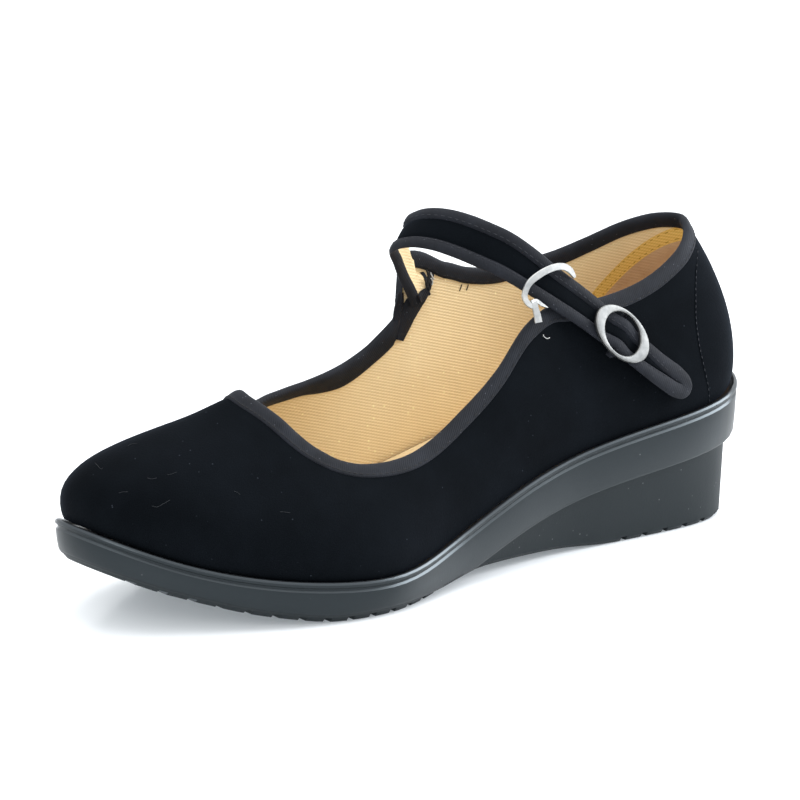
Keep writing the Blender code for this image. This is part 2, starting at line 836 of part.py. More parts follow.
def make_strap(finish, collection):
    """The bound velvet strap, gathered a little where it runs over the slider's bar."""
    length = strap_length()
    at = np.linspace(0, 1, STRAP_STEPS + 1)
    centre, _, width, face = strap_frames(at)
    from_ring = np.abs(at - RING_AT) * length
    inside = 1 - ease(0, GATHER_REACH * RING_HOLE_LENGTH, from_ring)
    free = strap_width(at)
    gathered = np.minimum(free, RING_HOLE_WIDTH - 2 * RING_GAP)
    to_tip = np.clip((1 - at) * length / STRAP_TIP, TIP_BLUNT, 1)
    tip = np.sqrt(1 - (1 - to_tip) ** 2)
    half_width = (free + (gathered - free) * inside) / 2 * tip
    half_thick = STRAP_THICKNESS / 2
    sections = []
    for k in range(len(at)):
        middle = centre[k] + face[k] * inside[k] * STRAP_BULGE
        sections.append(
            [
                middle + width[k] * across * half_width[k] + face[k] * out * half_thick
                for across, out in STRAP_SECTION
            ]
        )
    return open_tube("strap", np.array(sections), finish, collection)


def strap_matrix(at):
    """A frame on the strap: X along it, Y across it, Z out of its face."""
    centre, run, width, face = (part[0] for part in strap_frames(np.array([at])))
    frame = Matrix.Identity(4)
    for k, column in enumerate((run, width, face, centre)):
        for row in range(3):
            frame[row][k] = float(column[row])
    return frame


def bent_ring(name, outer, inner, low, high, finish, collection, steps, part=1.0):
    """A flat ring, or an arch of it, between two ellipses given by their half axes."""
    chamfer = (high - low) * METAL_CHAMFER
    sections = []
    count = steps if part == 1.0 else steps + 1
    for k in range(count):
        angle = 2 * math.pi * part * k / steps
        turn = np.array([math.cos(angle), math.sin(angle)])
        far = turn * outer
        near = turn * inner
        inward = (near - far) / np.linalg.norm(near - far) * chamfer
        sections.append(
            [
                (*far, low),
                (*far, high - chamfer),
                (*(far + inward), high),
                (*(near - inward), high),
                (*near, high - chamfer),
                (*near, low),
            ]
        )
    build = closed_tube if part == 1.0 else open_tube
    return build(name, np.array(sections), finish, collection)


def box(name, low, high, finish, collection):
    """A box between two corners, as its own object."""
    low = Vector(low)
    high = Vector(high)
    bpy.ops.mesh.primitive_cube_add(size=1, location=(low + high) / 2)
    made = bpy.context.object
    made.name = name
    made.scale = high - low
    bpy.ops.object.transform_apply(location=True, rotation=False, scale=True)
    for owner in made.users_collection:
        owner.objects.unlink(made)
    collection.objects.link(made)
    made.data.materials.append(finish)
    return made


def fuse(whole, pieces):
    """Joins pieces to a whole with Boolean unions, and leaves them as hidden helpers."""
    for piece in pieces:
        piece.hide_render = True
        piece.display_type = "WIRE"
        join = whole.modifiers.new(piece.name, "BOOLEAN")
        join.operation = "UNION"
        join.object = piece
        join.solver = "EXACT"


def make_ring(finish, collection, helpers):
    """The slider: an oval ring, wide at its two ends, with a bar let down behind the strap."""
    top = STRAP_THICKNESS / 2 + RING_GAP
    outer = np.array([RING_LENGTH, RING_WIDTH]) / 2
    inner = np.array([RING_HOLE_LENGTH, RING_HOLE_WIDTH]) / 2
    high = top + RING_THICKNESS
    ring = bent_ring("slider_ring", outer, inner, top, high, finish, collection, RING_STEPS)
    back = STRAP_BULGE - STRAP_THICKNESS / 2 - CLEARANCE
    under = back - RING_BAR_THICKNESS
    edge_in = RING_HOLE_WIDTH / 2 + RING_MARGIN / 2
    edge_out = RING_WIDTH / 2 - RING_MARGIN
    half = RING_BAR_WIDTH / 2
    pieces = [box("bar", (-half, -edge_out, under), (half, edge_out, back), finish, helpers)]
    for name, low, high in (
        ("bar_end_low", -edge_out, -edge_in),
        ("bar_end_high", edge_in, edge_out),
    ):
        level_top = top + RING_THICKNESS / 2
        pieces.append(
            box(name, (-half, low, under), (half, high, level_top), finish, helpers)
        )
    fuse(ring, pieces)
    frame = strap_matrix(RING_AT)
    for piece in [ring, *pieces]:
        piece.matrix_world = frame
    return ring


def make_hook(finish, collection, helpers):
    """The hook buckle: an arch over the strap, a bar behind it, and a foot on the topline."""
    top = STRAP_THICKNESS / 2 + HOOK_GAP
    high = top + HOOK_THICKNESS
    outer = np.array([HOOK_SPAN / 2, HOOK_BULGE])
    inner = outer - HOOK_BAND
    hook = bent_ring(
        "hook_buckle", outer, inner, top, high, finish, collection, HOOK_STEPS, part=0.5
    )
    under = -high
    end = HOOK_SPAN / 2
    deep = HOOK_BAND
    lap = HOOK_BAND / 4
    foot_end = -deep - HOOK_FOOT_LENGTH
    pieces = [
        box("hook_bar", (-end, -deep, under), (end, 0, -top), finish, helpers),
        box("hook_riser_1", (end - deep, -deep, under), (end, lap, high), finish, helpers),
        box("hook_riser_2", (-end, -deep, under), (deep - end, lap, high), finish, helpers),
        box(
            "hook_foot",
            (-end, foot_end, HOOK_FOOT_LEVEL),
            (HOOK_FOOT_WIDTH - end, -deep / 2, HOOK_FOOT_LEVEL + HOOK_THICKNESS),
            finish,
            helpers,
        ),
    ]
    fuse(hook, pieces)
    turn = Matrix.Rotation(math.radians(90 - HOOK_TURN), 4, "Z")
    frame = strap_matrix(HOOK_AT) @ turn
    for piece in [hook, *pieces]:
        piece.matrix_world = frame
    return hook


def clear_scene():
    for piece in list(bpy.data.objects):
        bpy.data.objects.remove(piece, do_unlink=True)


def new_collection(name):
    made = bpy.data.collections.new(name)
    bpy.context.scene.collection.children.link(made)
    return made


def main():
    clear_scene()
    shoe = new_collection("chinese cloth shoe")
    cutters = new_collection("tread cutters")
    rubber = material("moulded black rubber", (0.018, 0.018, 0.020), 0.42)
    velvet = material("black velvet", (0.010, 0.011, 0.014), 0.95)
    tape = material("charcoal bias tape", (0.045, 0.047, 0.052), 0.60)
    twill = material("golden twill", (0.62, 0.40, 0.16), 0.85)
    sole = make_sole(rubber, shoe)
    cut_tread(sole, cutters)
    make_upper(velvet, shoe)
    make_binding(tape, shoe)
    make_insole(twill, shoe)
    make_strap(velvet, shoe)
    metal = material("satin nickel", (0.62, 0.62, 0.60), 0.38, 1.0)
    helpers = new_collection("buckle helpers")
    make_ring(metal, shoe, helpers)
    make_hook(metal, shoe, helpers)


main()
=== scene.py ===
# %% [markdown]
# # A cloth shoe with a strap, in Blender
# The real shoe has a velvet upper sewn from a vamp and two quarters, a rolled tape round its opening,
# a strap that passes through an oval slider ring, a small hook buckle, and a moulded black wedge sole.
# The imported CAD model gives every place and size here. Each cell dresses one of its parts: the CAD
# solid stays as the measure, and the piece made here has the seams, rolls and threads on it.
# The toe points to -X, the buckle side is -Y, up is +Z, and everything is in metres.

# %% Load the frame
import bpy, math
from mathutils import Matrix, Vector
from mathutils.bvhtree import BVHTree


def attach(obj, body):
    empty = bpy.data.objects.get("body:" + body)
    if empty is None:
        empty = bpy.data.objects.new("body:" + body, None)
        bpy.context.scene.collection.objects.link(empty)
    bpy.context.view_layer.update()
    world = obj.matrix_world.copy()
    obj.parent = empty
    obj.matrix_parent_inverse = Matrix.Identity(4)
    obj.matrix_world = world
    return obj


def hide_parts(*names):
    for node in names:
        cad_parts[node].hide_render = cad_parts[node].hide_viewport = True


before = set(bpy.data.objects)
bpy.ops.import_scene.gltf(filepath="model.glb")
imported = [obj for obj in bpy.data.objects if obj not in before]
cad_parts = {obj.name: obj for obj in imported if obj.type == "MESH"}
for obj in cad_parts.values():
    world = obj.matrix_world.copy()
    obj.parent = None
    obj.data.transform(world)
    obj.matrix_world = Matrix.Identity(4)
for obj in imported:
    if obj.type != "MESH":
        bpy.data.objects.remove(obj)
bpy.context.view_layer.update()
MM = 0.001

# %% [markdown]
# ## The camera
# The photograph was taken from in front and a little above, with a long lens. The camera looks back
# along one line through a point inside the shoe, so its angle and its distance are two separate facts.

# %% The camera
AZIMUTH, ELEVATION, ROLL = math.radians(-36.5), math.radians(14.4), math.radians(0.2)
LOOKED_AT = Vector((-4.7, 3.6, 50.4)) * MM
DISTANCE = 1.2
PIXELS = 800
FOCAL_PIXELS = 3943
SENSOR_WIDTH = 36


def standing(first, second, third, place):
    """The matrix of three axes and a place."""
    return Matrix([(*values,) for values in zip(first, second, third, place)] + [(0, 0, 0, 1)])


def camera_axes():
    """The camera's right, up and back directions."""
    level = math.cos(ELEVATION)
    back = Vector((math.sin(AZIMUTH) * level, -math.cos(AZIMUTH) * level, math.sin(ELEVATION)))
    right = Vector((math.cos(AZIMUTH), math.sin(AZIMUTH), 0))
    up = back.cross(right)
    right = right * math.cos(ROLL) + up * math.sin(ROLL)
    return right, back.cross(right), back


RIGHT, UP, BACK = camera_axes()
EYE = LOOKED_AT + BACK * DISTANCE
bpy.ops.object.camera_add(location=EYE)
camera = bpy.context.object
camera.matrix_world = standing(RIGHT, UP, BACK, EYE)
camera.data.sensor_width = SENSOR_WIDTH
camera.data.lens = FOCAL_PIXELS / PIXELS * SENSOR_WIDTH
camera.data.clip_start, camera.data.clip_end = 0.05, 30
bpy.context.scene.camera = camera
print("camera at", [round(value, 3) for value in EYE], "lens", round(camera.data.lens, 1))


def sight(across, down):
    """The direction from the camera through one place of the picture."""
    half = PIXELS / 2
    return (RIGHT * (across - half) - UP * (down - half) - BACK * FOCAL_PIXELS).normalized()


# %% [markdown]
# ## Floor and light
# A shoe for a catalogue stands on white board in a tent of light. Here a wide pale floor, an even
# pale world, three soft lamps and a sun as wide as the sky do the same. All of them are large, so no
# hard highlight shows.

# %% Floor and light
bpy.ops.mesh.primitive_plane_add(size=8, location=(0, 0, -0.0002))
floor = bpy.context.object
floor.name = "floor"

world = bpy.data.worlds.new("tent")
bpy.context.scene.world = world
world.use_nodes = True
world.node_tree.nodes["Background"].inputs["Color"].default_value = (0.955, 0.98, 1.0, 1)
world.node_tree.nodes["Background"].inputs["Strength"].default_value = 0.95
bpy.context.scene.view_settings.view_transform = "Standard"


def soft_lamp(name, place, aim, size, watts, colour=(1, 1, 1)):
    """A square soft lamp that faces a point."""
    bpy.ops.object.light_add(type="AREA", location=place)
    lamp = bpy.context.object
    lamp.name = name
    lamp.data.size = size
    lamp.data.energy = watts
    lamp.data.color = colour
    lamp.rotation_euler = (Vector(aim) - Vector(place)).to_track_quat("-Z", "Y").to_euler()


soft_lamp("overhead", (0.1, 0.1, 1.1), (0, 0, 0.03), 1.0, 6)
soft_lamp("front_left", (-0.9, -0.7, 0.7), (0, 0, 0.05), 0.7, 4)
soft_lamp("right_side", (0.9, -0.35, 0.5), (0.05, 0, 0.05), 0.6, 10, (0.93, 0.96, 1.0))
bpy.ops.object.light_add(type="SUN", location=(0, 0, 2), rotation=(math.radians(-14), math.radians(10), 0))
sky = bpy.context.object
sky.name = "wide_sky"
sky.data.angle = math.radians(100)
sky.data.energy = 0.9

# %% [markdown]
# ## Materials
# Every finish is made of nodes. What several of them share, such as a weave, lint or a fine grain,
# is a group that gives back a value, so that each material can use it with its own scale.

# %% Helpers for nodes
def node(tree, kind, **settings):
    """Adds one node, sets its properties, and its inputs where a name starts with in_."""
    made = tree.nodes.new(kind)
    for name, value in settings.items():
        if name.startswith("in_"):
            made.inputs[name[3:].replace("_", " ")].default_value = value
        else:
            setattr(made, name, value)
    return made


def read_at(tree, place, kind, **settings):
    """A texture, a mapping or a group that reads this place."""
    made = node(tree, kind, **settings)
    tree.links.new(place, made.inputs["Vector"])
    return made


def noise(tree, place, scale, detail, roughness=0.5):
    """A cloudy value from 0 to 1."""
    return read_at(
        tree, place, "ShaderNodeTexNoise", in_Scale=scale, in_Detail=detail, in_Roughness=roughness).outputs["Fac"]


def ranged(tree, value, **settings):
    """A value stretched from one range to another, and held inside it."""
    made = node(tree, "ShaderNodeMapRange", **settings)
    tree.links.new(value, made.inputs["Value"])
    return made.outputs[0]


def math_of(tree, kind, *values):
    """One sum of the nodes: each value is a number or a socket."""
    made = node(tree, "ShaderNodeMath", operation=kind)
    for socket, value in zip(made.inputs, values):
        if isinstance(value, (int, float)):
            socket.default_value = value
        else:
            tree.links.new(value, socket)
    return made.outputs[0]


def group(name, inputs, outputs):
    """An empty shader group with its sockets, and its two end nodes."""
    tree = bpy.data.node_groups.new(name, "ShaderNodeTree")
    for label, kind, value in inputs:
        socket = tree.interface.new_socket(label, in_out="INPUT", socket_type=kind)
        if value is not None:
            socket.default_value = value
    for label, kind in outputs:
        tree.interface.new_socket(label, in_out="OUTPUT", socket_type=kind)
    return tree, tree.nodes.new("NodeGroupInput"), tree.nodes.new("NodeGroupOutput")


FLOAT, VECTOR = "NodeSocketFloat", "NodeSocketVector"


# %% The group for lint
def make_lint():
    """Sparse pale specks, as cloth picks up."""
    tree, start, end = group(
        "lint", [("Vector", VECTOR, None), ("Scale", FLOAT, 300), ("Amount", FLOAT, 0.1)], [("Mask", FLOAT)])
    link = tree.links.new
    cells = read_at(tree, start.outputs["Vector"], "ShaderNodeTexVoronoi", feature="F1")
    chosen = node(tree, "ShaderNodeSeparateColor")
    link(start.outputs["Scale"], cells.inputs["Scale"])
    link(cells.outputs["Color"], chosen.inputs[0])
    rare = math_of(tree, "LESS_THAN", chosen.outputs[0], start.outputs["Amount"])
    near = ranged(tree, cells.outputs["Distance"], in_From_Min=0.22, in_From_Max=0.05)
    link(math_of(tree, "MULTIPLY", rare, near), end.inputs["Mask"])
    return tree


# %% The group for a weave
def make_weave():
    """Slanting ribs of a twill crossed by its finer threads. Height is 0 to 1."""
    sockets = [("Vector", VECTOR, None), ("Ribs", FLOAT, 300), ("Cross", FLOAT, 600), ("Wander", FLOAT, 0.5)]
    tree, start, end = group("weave", sockets, [("Height", FLOAT)])
    waves = []
    for label, direction, detail in (("Ribs", "X", 1.5), ("Cross", "DIAGONAL", 1.0)):
        wave = read_at(tree, start.outputs["Vector"], "ShaderNodeTexWave", bands_direction=direction, in_Detail=detail)
        tree.links.new(start.outputs[label], wave.inputs["Scale"])
        tree.links.new(start.outputs["Wander"], wave.inputs["Distortion"])
        waves.append(wave.outputs["Fac"])
    ribs, cross = waves
    height = math_of(tree, "MULTIPLY_ADD", cross, 0.35, math_of(tree, "MULTIPLY", ribs, 0.65))
    tree.links.new(height, end.inputs["Height"])
    return tree


LINT, WEAVE = make_lint(), make_weave()


def lint_mask(tree, place, scale, amount):
    """Where a finish shows its lint."""
    return read_at(tree, place, "ShaderNodeGroup", node_tree=LINT, in_Scale=scale, in_Amount=amount).outputs["Mask"]


def woven(tree, place, turn, ribs, cross, wander):
    """The height of a weave whose ribs are turned by three angles."""
    turned = read_at(tree, place, "ShaderNodeMapping", in_Rotation=turn).outputs[0]
    threads = read_at(
        tree, turned, "ShaderNodeGroup", node_tree=WEAVE, in_Ribs=ribs, in_Cross=cross, in_Wander=wander)
    return threads.outputs["Height"]


# %% A new material
def finish_of(name, colour, roughness, specular=0.5, metallic=0.0, sheen=0.0, tint=(1, 1, 1), sheen_roughness=0.4):
    """A material with its nodes, its shader, and the place that its patterns read."""
    made = bpy.data.materials.new(name)
    made.use_nodes = True
    shader = made.node_tree.nodes["Principled BSDF"]
    for socket, value in (
            ("Base Color", (*colour, 1)), ("Roughness", roughness), ("Specular IOR Level", specular),
            ("Metallic", metallic), ("Sheen Weight", sheen), ("Sheen Tint", (*tint, 1)),
            ("Sheen Roughness", sheen_roughness)):
        shader.inputs[socket].default_value = value
    return made, made.node_tree, shader, node(made.node_tree, "ShaderNodeTexCoord").outputs["Object"]


def bumped(tree, shader, height, strength, distance):
    """Feeds a height into the shader's normal."""
    bump = node(tree, "ShaderNodeBump", in_Strength=strength, in_Distance=distance)
    tree.links.new(height, bump.inputs["Height"])
    tree.links.new(bump.outputs["Normal"], shader.inputs["Normal"])


def mixed(tree, mask, first, second):
    """One colour turning into another by a mask, each a colour or a socket."""
    mix = node(tree, "ShaderNodeMix", data_type="RGBA")
    tree.links.new(mask, mix.inputs["Factor"])
    for socket, value in ((mix.inputs[6], first), (mix.inputs[7], second)):
        if isinstance(value, tuple):
            socket.default_value = (*value, 1)
        else:
            tree.links.new(value, socket)
    return mix.outputs[2]


# %% Velvet
def make_velvet(name, dark, light, lint):
    """Short black pile: almost no gloss, a faint bluish bloom, patches where the nap lies otherwise, and lint."""
    made, tree, shader, place = finish_of(
        name, dark, 0.9, specular=0.05, sheen=0.035, tint=(0.5, 0.66, 1.0), sheen_roughness=0.35)
    nap = ranged(tree, noise(tree, place, 38, 3, 0.6), in_From_Min=0.35, in_From_Max=0.7)
    dusted = mixed(tree, lint_mask(tree, place, 800.0, lint), mixed(tree, nap, dark, light), (0.028, 0.033, 0.042))
    tree.links.new(dusted, shader.inputs["Base Color"])
    bumped(tree, shader, noise(tree, place, 1900, 2), 0.35, 0.0003)
    return made


VELVET = make_velvet("velvet", (0.0016, 0.0025, 0.0037), (0.0032, 0.0046, 0.0066), lint=0.025)


# %% Binding tape
def make_tape(name, colour, dust, ribs=700.0):
    """Bias tape of a satin twill, charcoal, rubbed paler where it is touched and dusted with lint."""
    made, tree, shader, place = finish_of(name, colour, 0.66, specular=0.16, sheen=0.03, tint=(0.8, 0.85, 1.0))
    worn = ranged(tree, noise(tree, place, 75, 5, 0.65), in_From_Min=0.42, in_From_Max=0.72)
    base = mixed(tree, worn, colour, tuple(value * 1.9 for value in colour))
    dusted = mixed(tree, lint_mask(tree, place, 1100.0, dust), base, (0.09, 0.095, 0.115))
    tree.links.new(dusted, shader.inputs["Base Color"])
    bumped(tree, shader, woven(tree, place, (0.3, 0.2, 0.9), ribs, ribs * 1.7, 0.6), 0.35, 0.0002)
    return made


TAPE = make_tape("binding_tape", (0.0074, 0.0086, 0.0120), 0.10)


# %% The group for the heel's bands
BAND_AT, BAND_HALF = 28.9, 2.4  # mm along the slanting distance
ROW_AT, ROW_HALF = 1.6, 0.17  # mm from the band's middle
STITCH_STEP, STITCH_GAP = 1.9, 0.62  # mm, and the share of it left bare


def make_heel_bands():
    """Across the lining at the heel: a sewn band and the patch behind it, both told by one slanting distance."""
    tree, start, end = group(
        "heel_bands", [("Vector", VECTOR, None)], [("Band", FLOAT), ("Patch", FLOAT), ("Stitch", FLOAT)])
    link = tree.links.new

    def dotted(direction):
        made = node(tree, "ShaderNodeVectorMath", operation="DOT_PRODUCT")
        link(start.outputs["Vector"], made.inputs[0])
        made.inputs[1].default_value = direction
        return made.outputs["Value"]

    across, along = dotted((779, 0, -627)), dotted((627, 0, 779))
    from_middle = math_of(tree, "ABSOLUTE", math_of(tree, "SUBTRACT", across, BAND_AT))
    link(math_of(tree, "LESS_THAN", from_middle, BAND_HALF), end.inputs["Band"])
    link(math_of(tree, "GREATER_THAN", across, BAND_AT), end.inputs["Patch"])
    from_row = math_of(tree, "ABSOLUTE", math_of(tree, "SUBTRACT", from_middle, ROW_AT))
    row = math_of(tree, "LESS_THAN", from_row, ROW_HALF)
    gap = math_of(tree, "GREATER_THAN", math_of(tree, "FRACT", math_of(tree, "DIVIDE", along, STITCH_STEP)), STITCH_GAP)
    link(math_of(tree, "MULTIPLY", row, gap), end.inputs["Stitch"])
    return tree


HEEL_BANDS = make_heel_bands()


# %% Twill lining
def make_twill(name, colour, shade, turn, ribs=341.0, heel=False):
    """Golden cotton twill: slanting ribs, darker valleys, slubs, pale specks. With heel, the sewn band and patch."""
    made, tree, shader, place = finish_of(name, colour, 0.85, specular=0.2, sheen=0.04, tint=(1.0, 0.92, 0.8))
    threads = woven(tree, place, turn, ribs, ribs * 1.6, 0.5)
    slubs = noise(tree, place, 160, 4)
    soft = ranged(tree, slubs, in_To_Min=0.0, in_To_Max=0.35)
    paler, palest = (tuple(min(1, value * share) for value in colour) for share in (1.15, 1.35))
    cloth = mixed(tree, soft, mixed(tree, threads, shade, colour), paler)
    cloth = mixed(tree, lint_mask(tree, place, 520.0, 0.16), cloth, palest)
    if heel:
        bands = read_at(tree, place, "ShaderNodeGroup", node_tree=HEEL_BANDS)
        leather = mixed(tree, slubs, (0.44, 0.27, 0.15), (0.66, 0.46, 0.29))
        tape = mixed(tree, threads, (0.66, 0.42, 0.10), (0.86, 0.60, 0.19))
        cloth = mixed(tree, bands.outputs["Patch"], cloth, leather)
        cloth = mixed(tree, bands.outputs["Band"], cloth, tape)
        cloth = mixed(tree, bands.outputs["Stitch"], cloth, (0.44, 0.26, 0.05))
    tree.links.new(cloth, shader.inputs["Base Color"])
    bumped(tree, shader, threads, 0.5, 0.0003)
    return made


GOLD, GOLD_SHADE = (0.84, 0.675, 0.42), (0.70, 0.53, 0.28)
ON_THE_WALL, ON_THE_FLOOR = (0, math.radians(73.5), math.radians(-5.5)), (0, 0, math.radians(-18.5))
TWILL = make_twill("twill_lining", GOLD, GOLD_SHADE, ON_THE_WALL, heel=True)
TWILL_FLAT = make_twill("twill_insole", GOLD, GOLD_SHADE, ON_THE_FLOOR)


# %% Moulded sole
def make_moulding(name, colour, roughness, grain, specks, specular):
    """Black moulded foam with its skin: a fine orange peel, faint dust and small pores."""
    made, tree, shader, place = finish_of(name, colour, roughness, specular=specular)
    link = tree.links.new
    cloud = ranged(tree, noise(tree, place, 30, 4), in_To_Min=roughness - 0.06, in_To_Max=roughness + 0.08)
    link(cloud, shader.inputs["Roughness"])
    link(mixed(tree, lint_mask(tree, place, 700.0, specks), colour, (0.09, 0.09, 0.095)), shader.inputs["Base Color"])
    shader.inputs["Specular Tint"].default_value = (0.80, 0.93, 1.0, 1.0)
    bumped(tree, shader, noise(tree, place, 1300, 2), grain, 0.0002)
    return made


SKIN = make_moulding("moulded_band", (0.0050, 0.0066, 0.0080), 0.38, 0.06, 0.01, 0.36)
BLOCK = make_moulding("moulded_block", (0.0095, 0.0118, 0.0132), 0.60, 0.16, 0.05, 0.3)
# Painted highlight: every face of the sole that looks up gets this paler, glossier moulding, the light line along the
# bead's top.
UPWARD_HIGHLIGHT = make_moulding("moulded_painted_highlight", (0.0190, 0.0210, 0.0240), 0.28, 0.04, 0.0, 0.8)


# %% Metal, thread and board
def make_metal(name, shine):
    """Cast nickel, tumbled matte, with cloudy wear and tiny pits."""
    made, tree, shader, place = finish_of(name, (shine, shine, shine), 0.45, metallic=1.0)
    link = tree.links.new
    cast = noise(tree, place, 900, 3)
    link(ranged(tree, cast, in_To_Min=0.38, in_To_Max=0.55), shader.inputs["Roughness"])
    worn = ranged(tree, noise(tree, place, 170, 5, 0.7), in_From_Min=0.35, in_From_Max=0.65)
    dull, bright = (tuple(shine * value for value in tone) for tone in ((0.72, 0.74, 0.74), (1.15, 1.15, 1.12)))
    link(mixed(tree, worn, dull, bright), shader.inputs["Base Color"])
    bumped(tree, shader, cast, 0.12, 0.0002)
    return made


def make_thread(name, colour):
    """Twisted sewing thread."""
    made, tree, shader, place = finish_of(name, colour, 0.7, specular=0.3)
    twist = read_at(tree, place, "ShaderNodeTexWave", in_Scale=1400, in_Distortion=1.0)
    shaded = mixed(tree, twist.outputs["Fac"], tuple(value * 0.6 for value in colour), colour)
    tree.links.new(shaded, shader.inputs["Base Color"])
    bumped(tree, shader, twist.outputs["Fac"], 0.4, 0.0001)
    return made


# The ring's nickel is the hook's metal at under half the brightness: painted shade, so the ring comes out grey and not
# white under these lamps.
METAL, RING_METAL = make_metal("matte_nickel", 0.46), make_metal("ring_nickel_painted_shade", 0.215)
DARK_THREAD = make_thread("dark_thread", (0.010, 0.010, 0.012))
GREY_THREAD = make_thread("grey_thread", (0.030, 0.032, 0.040))
PALE_THREAD = make_thread("pale_thread", (0.62, 0.62, 0.60))
FIBRE = make_thread("fibre", (0.019, 0.022, 0.027))


def make_board():
    """White glossy board on a light table, so it glows faintly and its shadows stay pale."""
    made, tree, shader, place = finish_of("white_board", (0.93, 0.94, 0.95), 0.20, specular=0.5)
    shader.inputs["Emission Color"].default_value = (0.86, 0.94, 1.0, 1)
    shader.inputs["Emission Strength"].default_value = 0.26
    bumped(tree, shader, noise(tree, place, 60, 3), 0.02, 0.0005)
    return made


floor.data.materials.append(make_board())
print("materials:", [made.name for made in bpy.data.materials if made.users])

# %% [markdown]
# ## Helpers for the pieces
# A piece starts as a merged copy of a CAD solid or as a primitive. The operators act on what is
# selected, so one piece at a time is selected first.

# %% Helpers for the pieces
def only(piece):
    """Selects this piece alone."""
    bpy.ops.object.select_all(action="DESELECT")
    piece.select_set(True)
    bpy.context.view_layer.objects.active = piece


def copied(node_name, name):
    """A piece that starts as the CAD node's solid, merged to whole faces."""
    piece = bpy.data.objects.new(name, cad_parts[node_name].data.copy())
    bpy.context.scene.collection.objects.link(piece)
    only(piece)
    bpy.ops.mesh.customdata_custom_splitnormals_clear()
    bpy.ops.object.mode_set(mode="EDIT")
    bpy.ops.mesh.select_all(action="SELECT")
    bpy.ops.mesh.remove_doubles(threshold=1e-5)
    bpy.ops.mesh.tris_convert_to_quads(face_threshold=math.radians(70), shape_threshold=math.radians(178))
    bpy.ops.object.mode_set(mode="OBJECT")
    piece.data.materials.clear()
    return piece


def applied(piece, kind, **settings):
    """Adds one modifier and applies it."""
    only(piece)
    modifier = piece.modifiers.new(kind.lower(), kind)
    for name, value in settings.items():
        setattr(modifier, name, value)
    bpy.ops.object.modifier_apply(modifier=modifier.name)


def finished(piece, slot, *materials, smooth, replaces=None):
    """Gives a piece its materials, its smooth faces and its body. Its slot is not used."""
    for made in materials:
        piece.data.materials.append(made)
    only(piece)
    bpy.ops.object.shade_smooth_by_angle(angle=math.radians(smooth))
    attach(piece, "root")
    if replaces:
        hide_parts(replaces)
    low, high = (Vector(corner) for corner in (piece.bound_box[0], piece.bound_box[6]))
    print(f"{piece.name}: {len(piece.data.polygons)} faces, {[round(v / MM, 1) for v in high - low]} mm")
    return piece


def tube_grid(name, along, around, place, closed_along=False):
    """A grid primitive rolled to a tube with closed ends: place(u, column) puts each point, u 0 to 1 along it."""
    bpy.ops.object.select_all(action="DESELECT")
    bpy.ops.mesh.primitive_grid_add(x_subdivisions=along, y_subdivisions=around, size=1, calc_uvs=True)
    piece = bpy.context.object
    piece.name = piece.data.name = name
    for vertex in piece.data.vertices:
        u = vertex.co.x + 0.5
        column = round((vertex.co.y + 0.5) * around) % around
        vertex.co = place(0.0 if closed_along and u > 1 - 0.5 / along else u, column)
    only(piece)
    bpy.ops.object.mode_set(mode="EDIT")
    bpy.ops.mesh.select_all(action="SELECT")
    bpy.ops.mesh.remove_doubles(threshold=1e-6)
    bpy.ops.mesh.fill_holes(sides=0)
    bpy.ops.mesh.normals_make_consistent(inside=False)
    bpy.ops.object.mode_set(mode="OBJECT")
    return piece


def through(table, at, closed=False):
    """A smooth reading of a table of equally spaced rows, at 0 to 1 along it."""
    count = len(table)
    spans = count if closed else count - 1
    place = min(max(at, 0.0), 1.0) * spans
    k = min(int(place), spans - 1)
    t = place - k
    pick = (lambda i: table[i % count]) if closed else (lambda i: table[min(max(i, 0), count - 1)])
    a, b, c, d = (pick(k + i) for i in (-1, 0, 1, 2))
    return [
        0.5 * (2 * q + (r - p) * t + (2 * p - 5 * q + 4 * r - s) * t * t + (3 * q - p - 3 * r + s) * t ** 3)
        for p, q, r, s in zip(a, b, c, d)]


def line_at(points, u, reach):
    """A smooth line's place at u, and the way along it there."""
    ahead, behind = (Vector(through(points, at)) for at in (min(u + reach, 1), max(u - reach, 0)))
    return Vector(through(points, u)), ahead - behind


def smoothstep(low, high, at):
    """0 below low, 1 above high, and an even curve between."""
    t = min(max((at - low) / (high - low), 0.0), 1.0)
    return t * t * (3 - 2 * t)


# %% [markdown]
# ## The sole
# The real sole is one moulding: a thin bead at its rim, a groove, a satin band, and below a step the
# matte wedge block with its tread. The CAD solid has all of these, so the piece is a copy of it with
# soft edges and three finishes: two that meet at the step, and a paler one on every face that looks
# up, which is a painted highlight along the top of the bead.

# %% The sole
STEP_LINE = (
    (-0.1225, 0.0120), (-0.049, 0.0022), (-0.0245, 0.0022), (0.0, 0.0052), (0.0245, 0.0131),
    (0.049, 0.0184), (0.0735, 0.0216), (0.098, 0.0245), (0.1225, 0.0284))
FOREFOOT_END = -0.045


def step_at(x):
    """The height of the step between the band and the block."""
    for (x0, z0), (x1, z1) in zip(STEP_LINE, STEP_LINE[1:]):
        if x <= x1:
            return z0 + (z1 - z0) * max(0.0, (x - x0) / (x1 - x0))
    return STEP_LINE[-1][1]


sole = copied("sole_unit", "sole")
for face in sole.data.polygons:
    below = face.center.z < step_at(face.center.x) + 0.0002
    face.material_index = int(face.normal.z < -0.4 or (below and face.center.x > FOREFOOT_END))
    # Every face that looks up takes the painted highlight.
    if face.normal.z > 0.3:
        face.material_index = 2
applied(sole, "BEVEL", width=0.00025, segments=2, limit_method="ANGLE", angle_limit=math.radians(28))
finished(sole, "sole_unit", SKIN, BLOCK, UPWARD_HIGHLIGHT, replaces="sole_unit", smooth=32)

# %% [markdown]
# ## The upper
# Velvet outside and golden twill inside, sewn together as one wall. The copy is smoothed by
# subdivision, its top edge is lifted into the binding, and each face is velvet or twill by the side
# it faces: a line of points inside the cavity tells which.

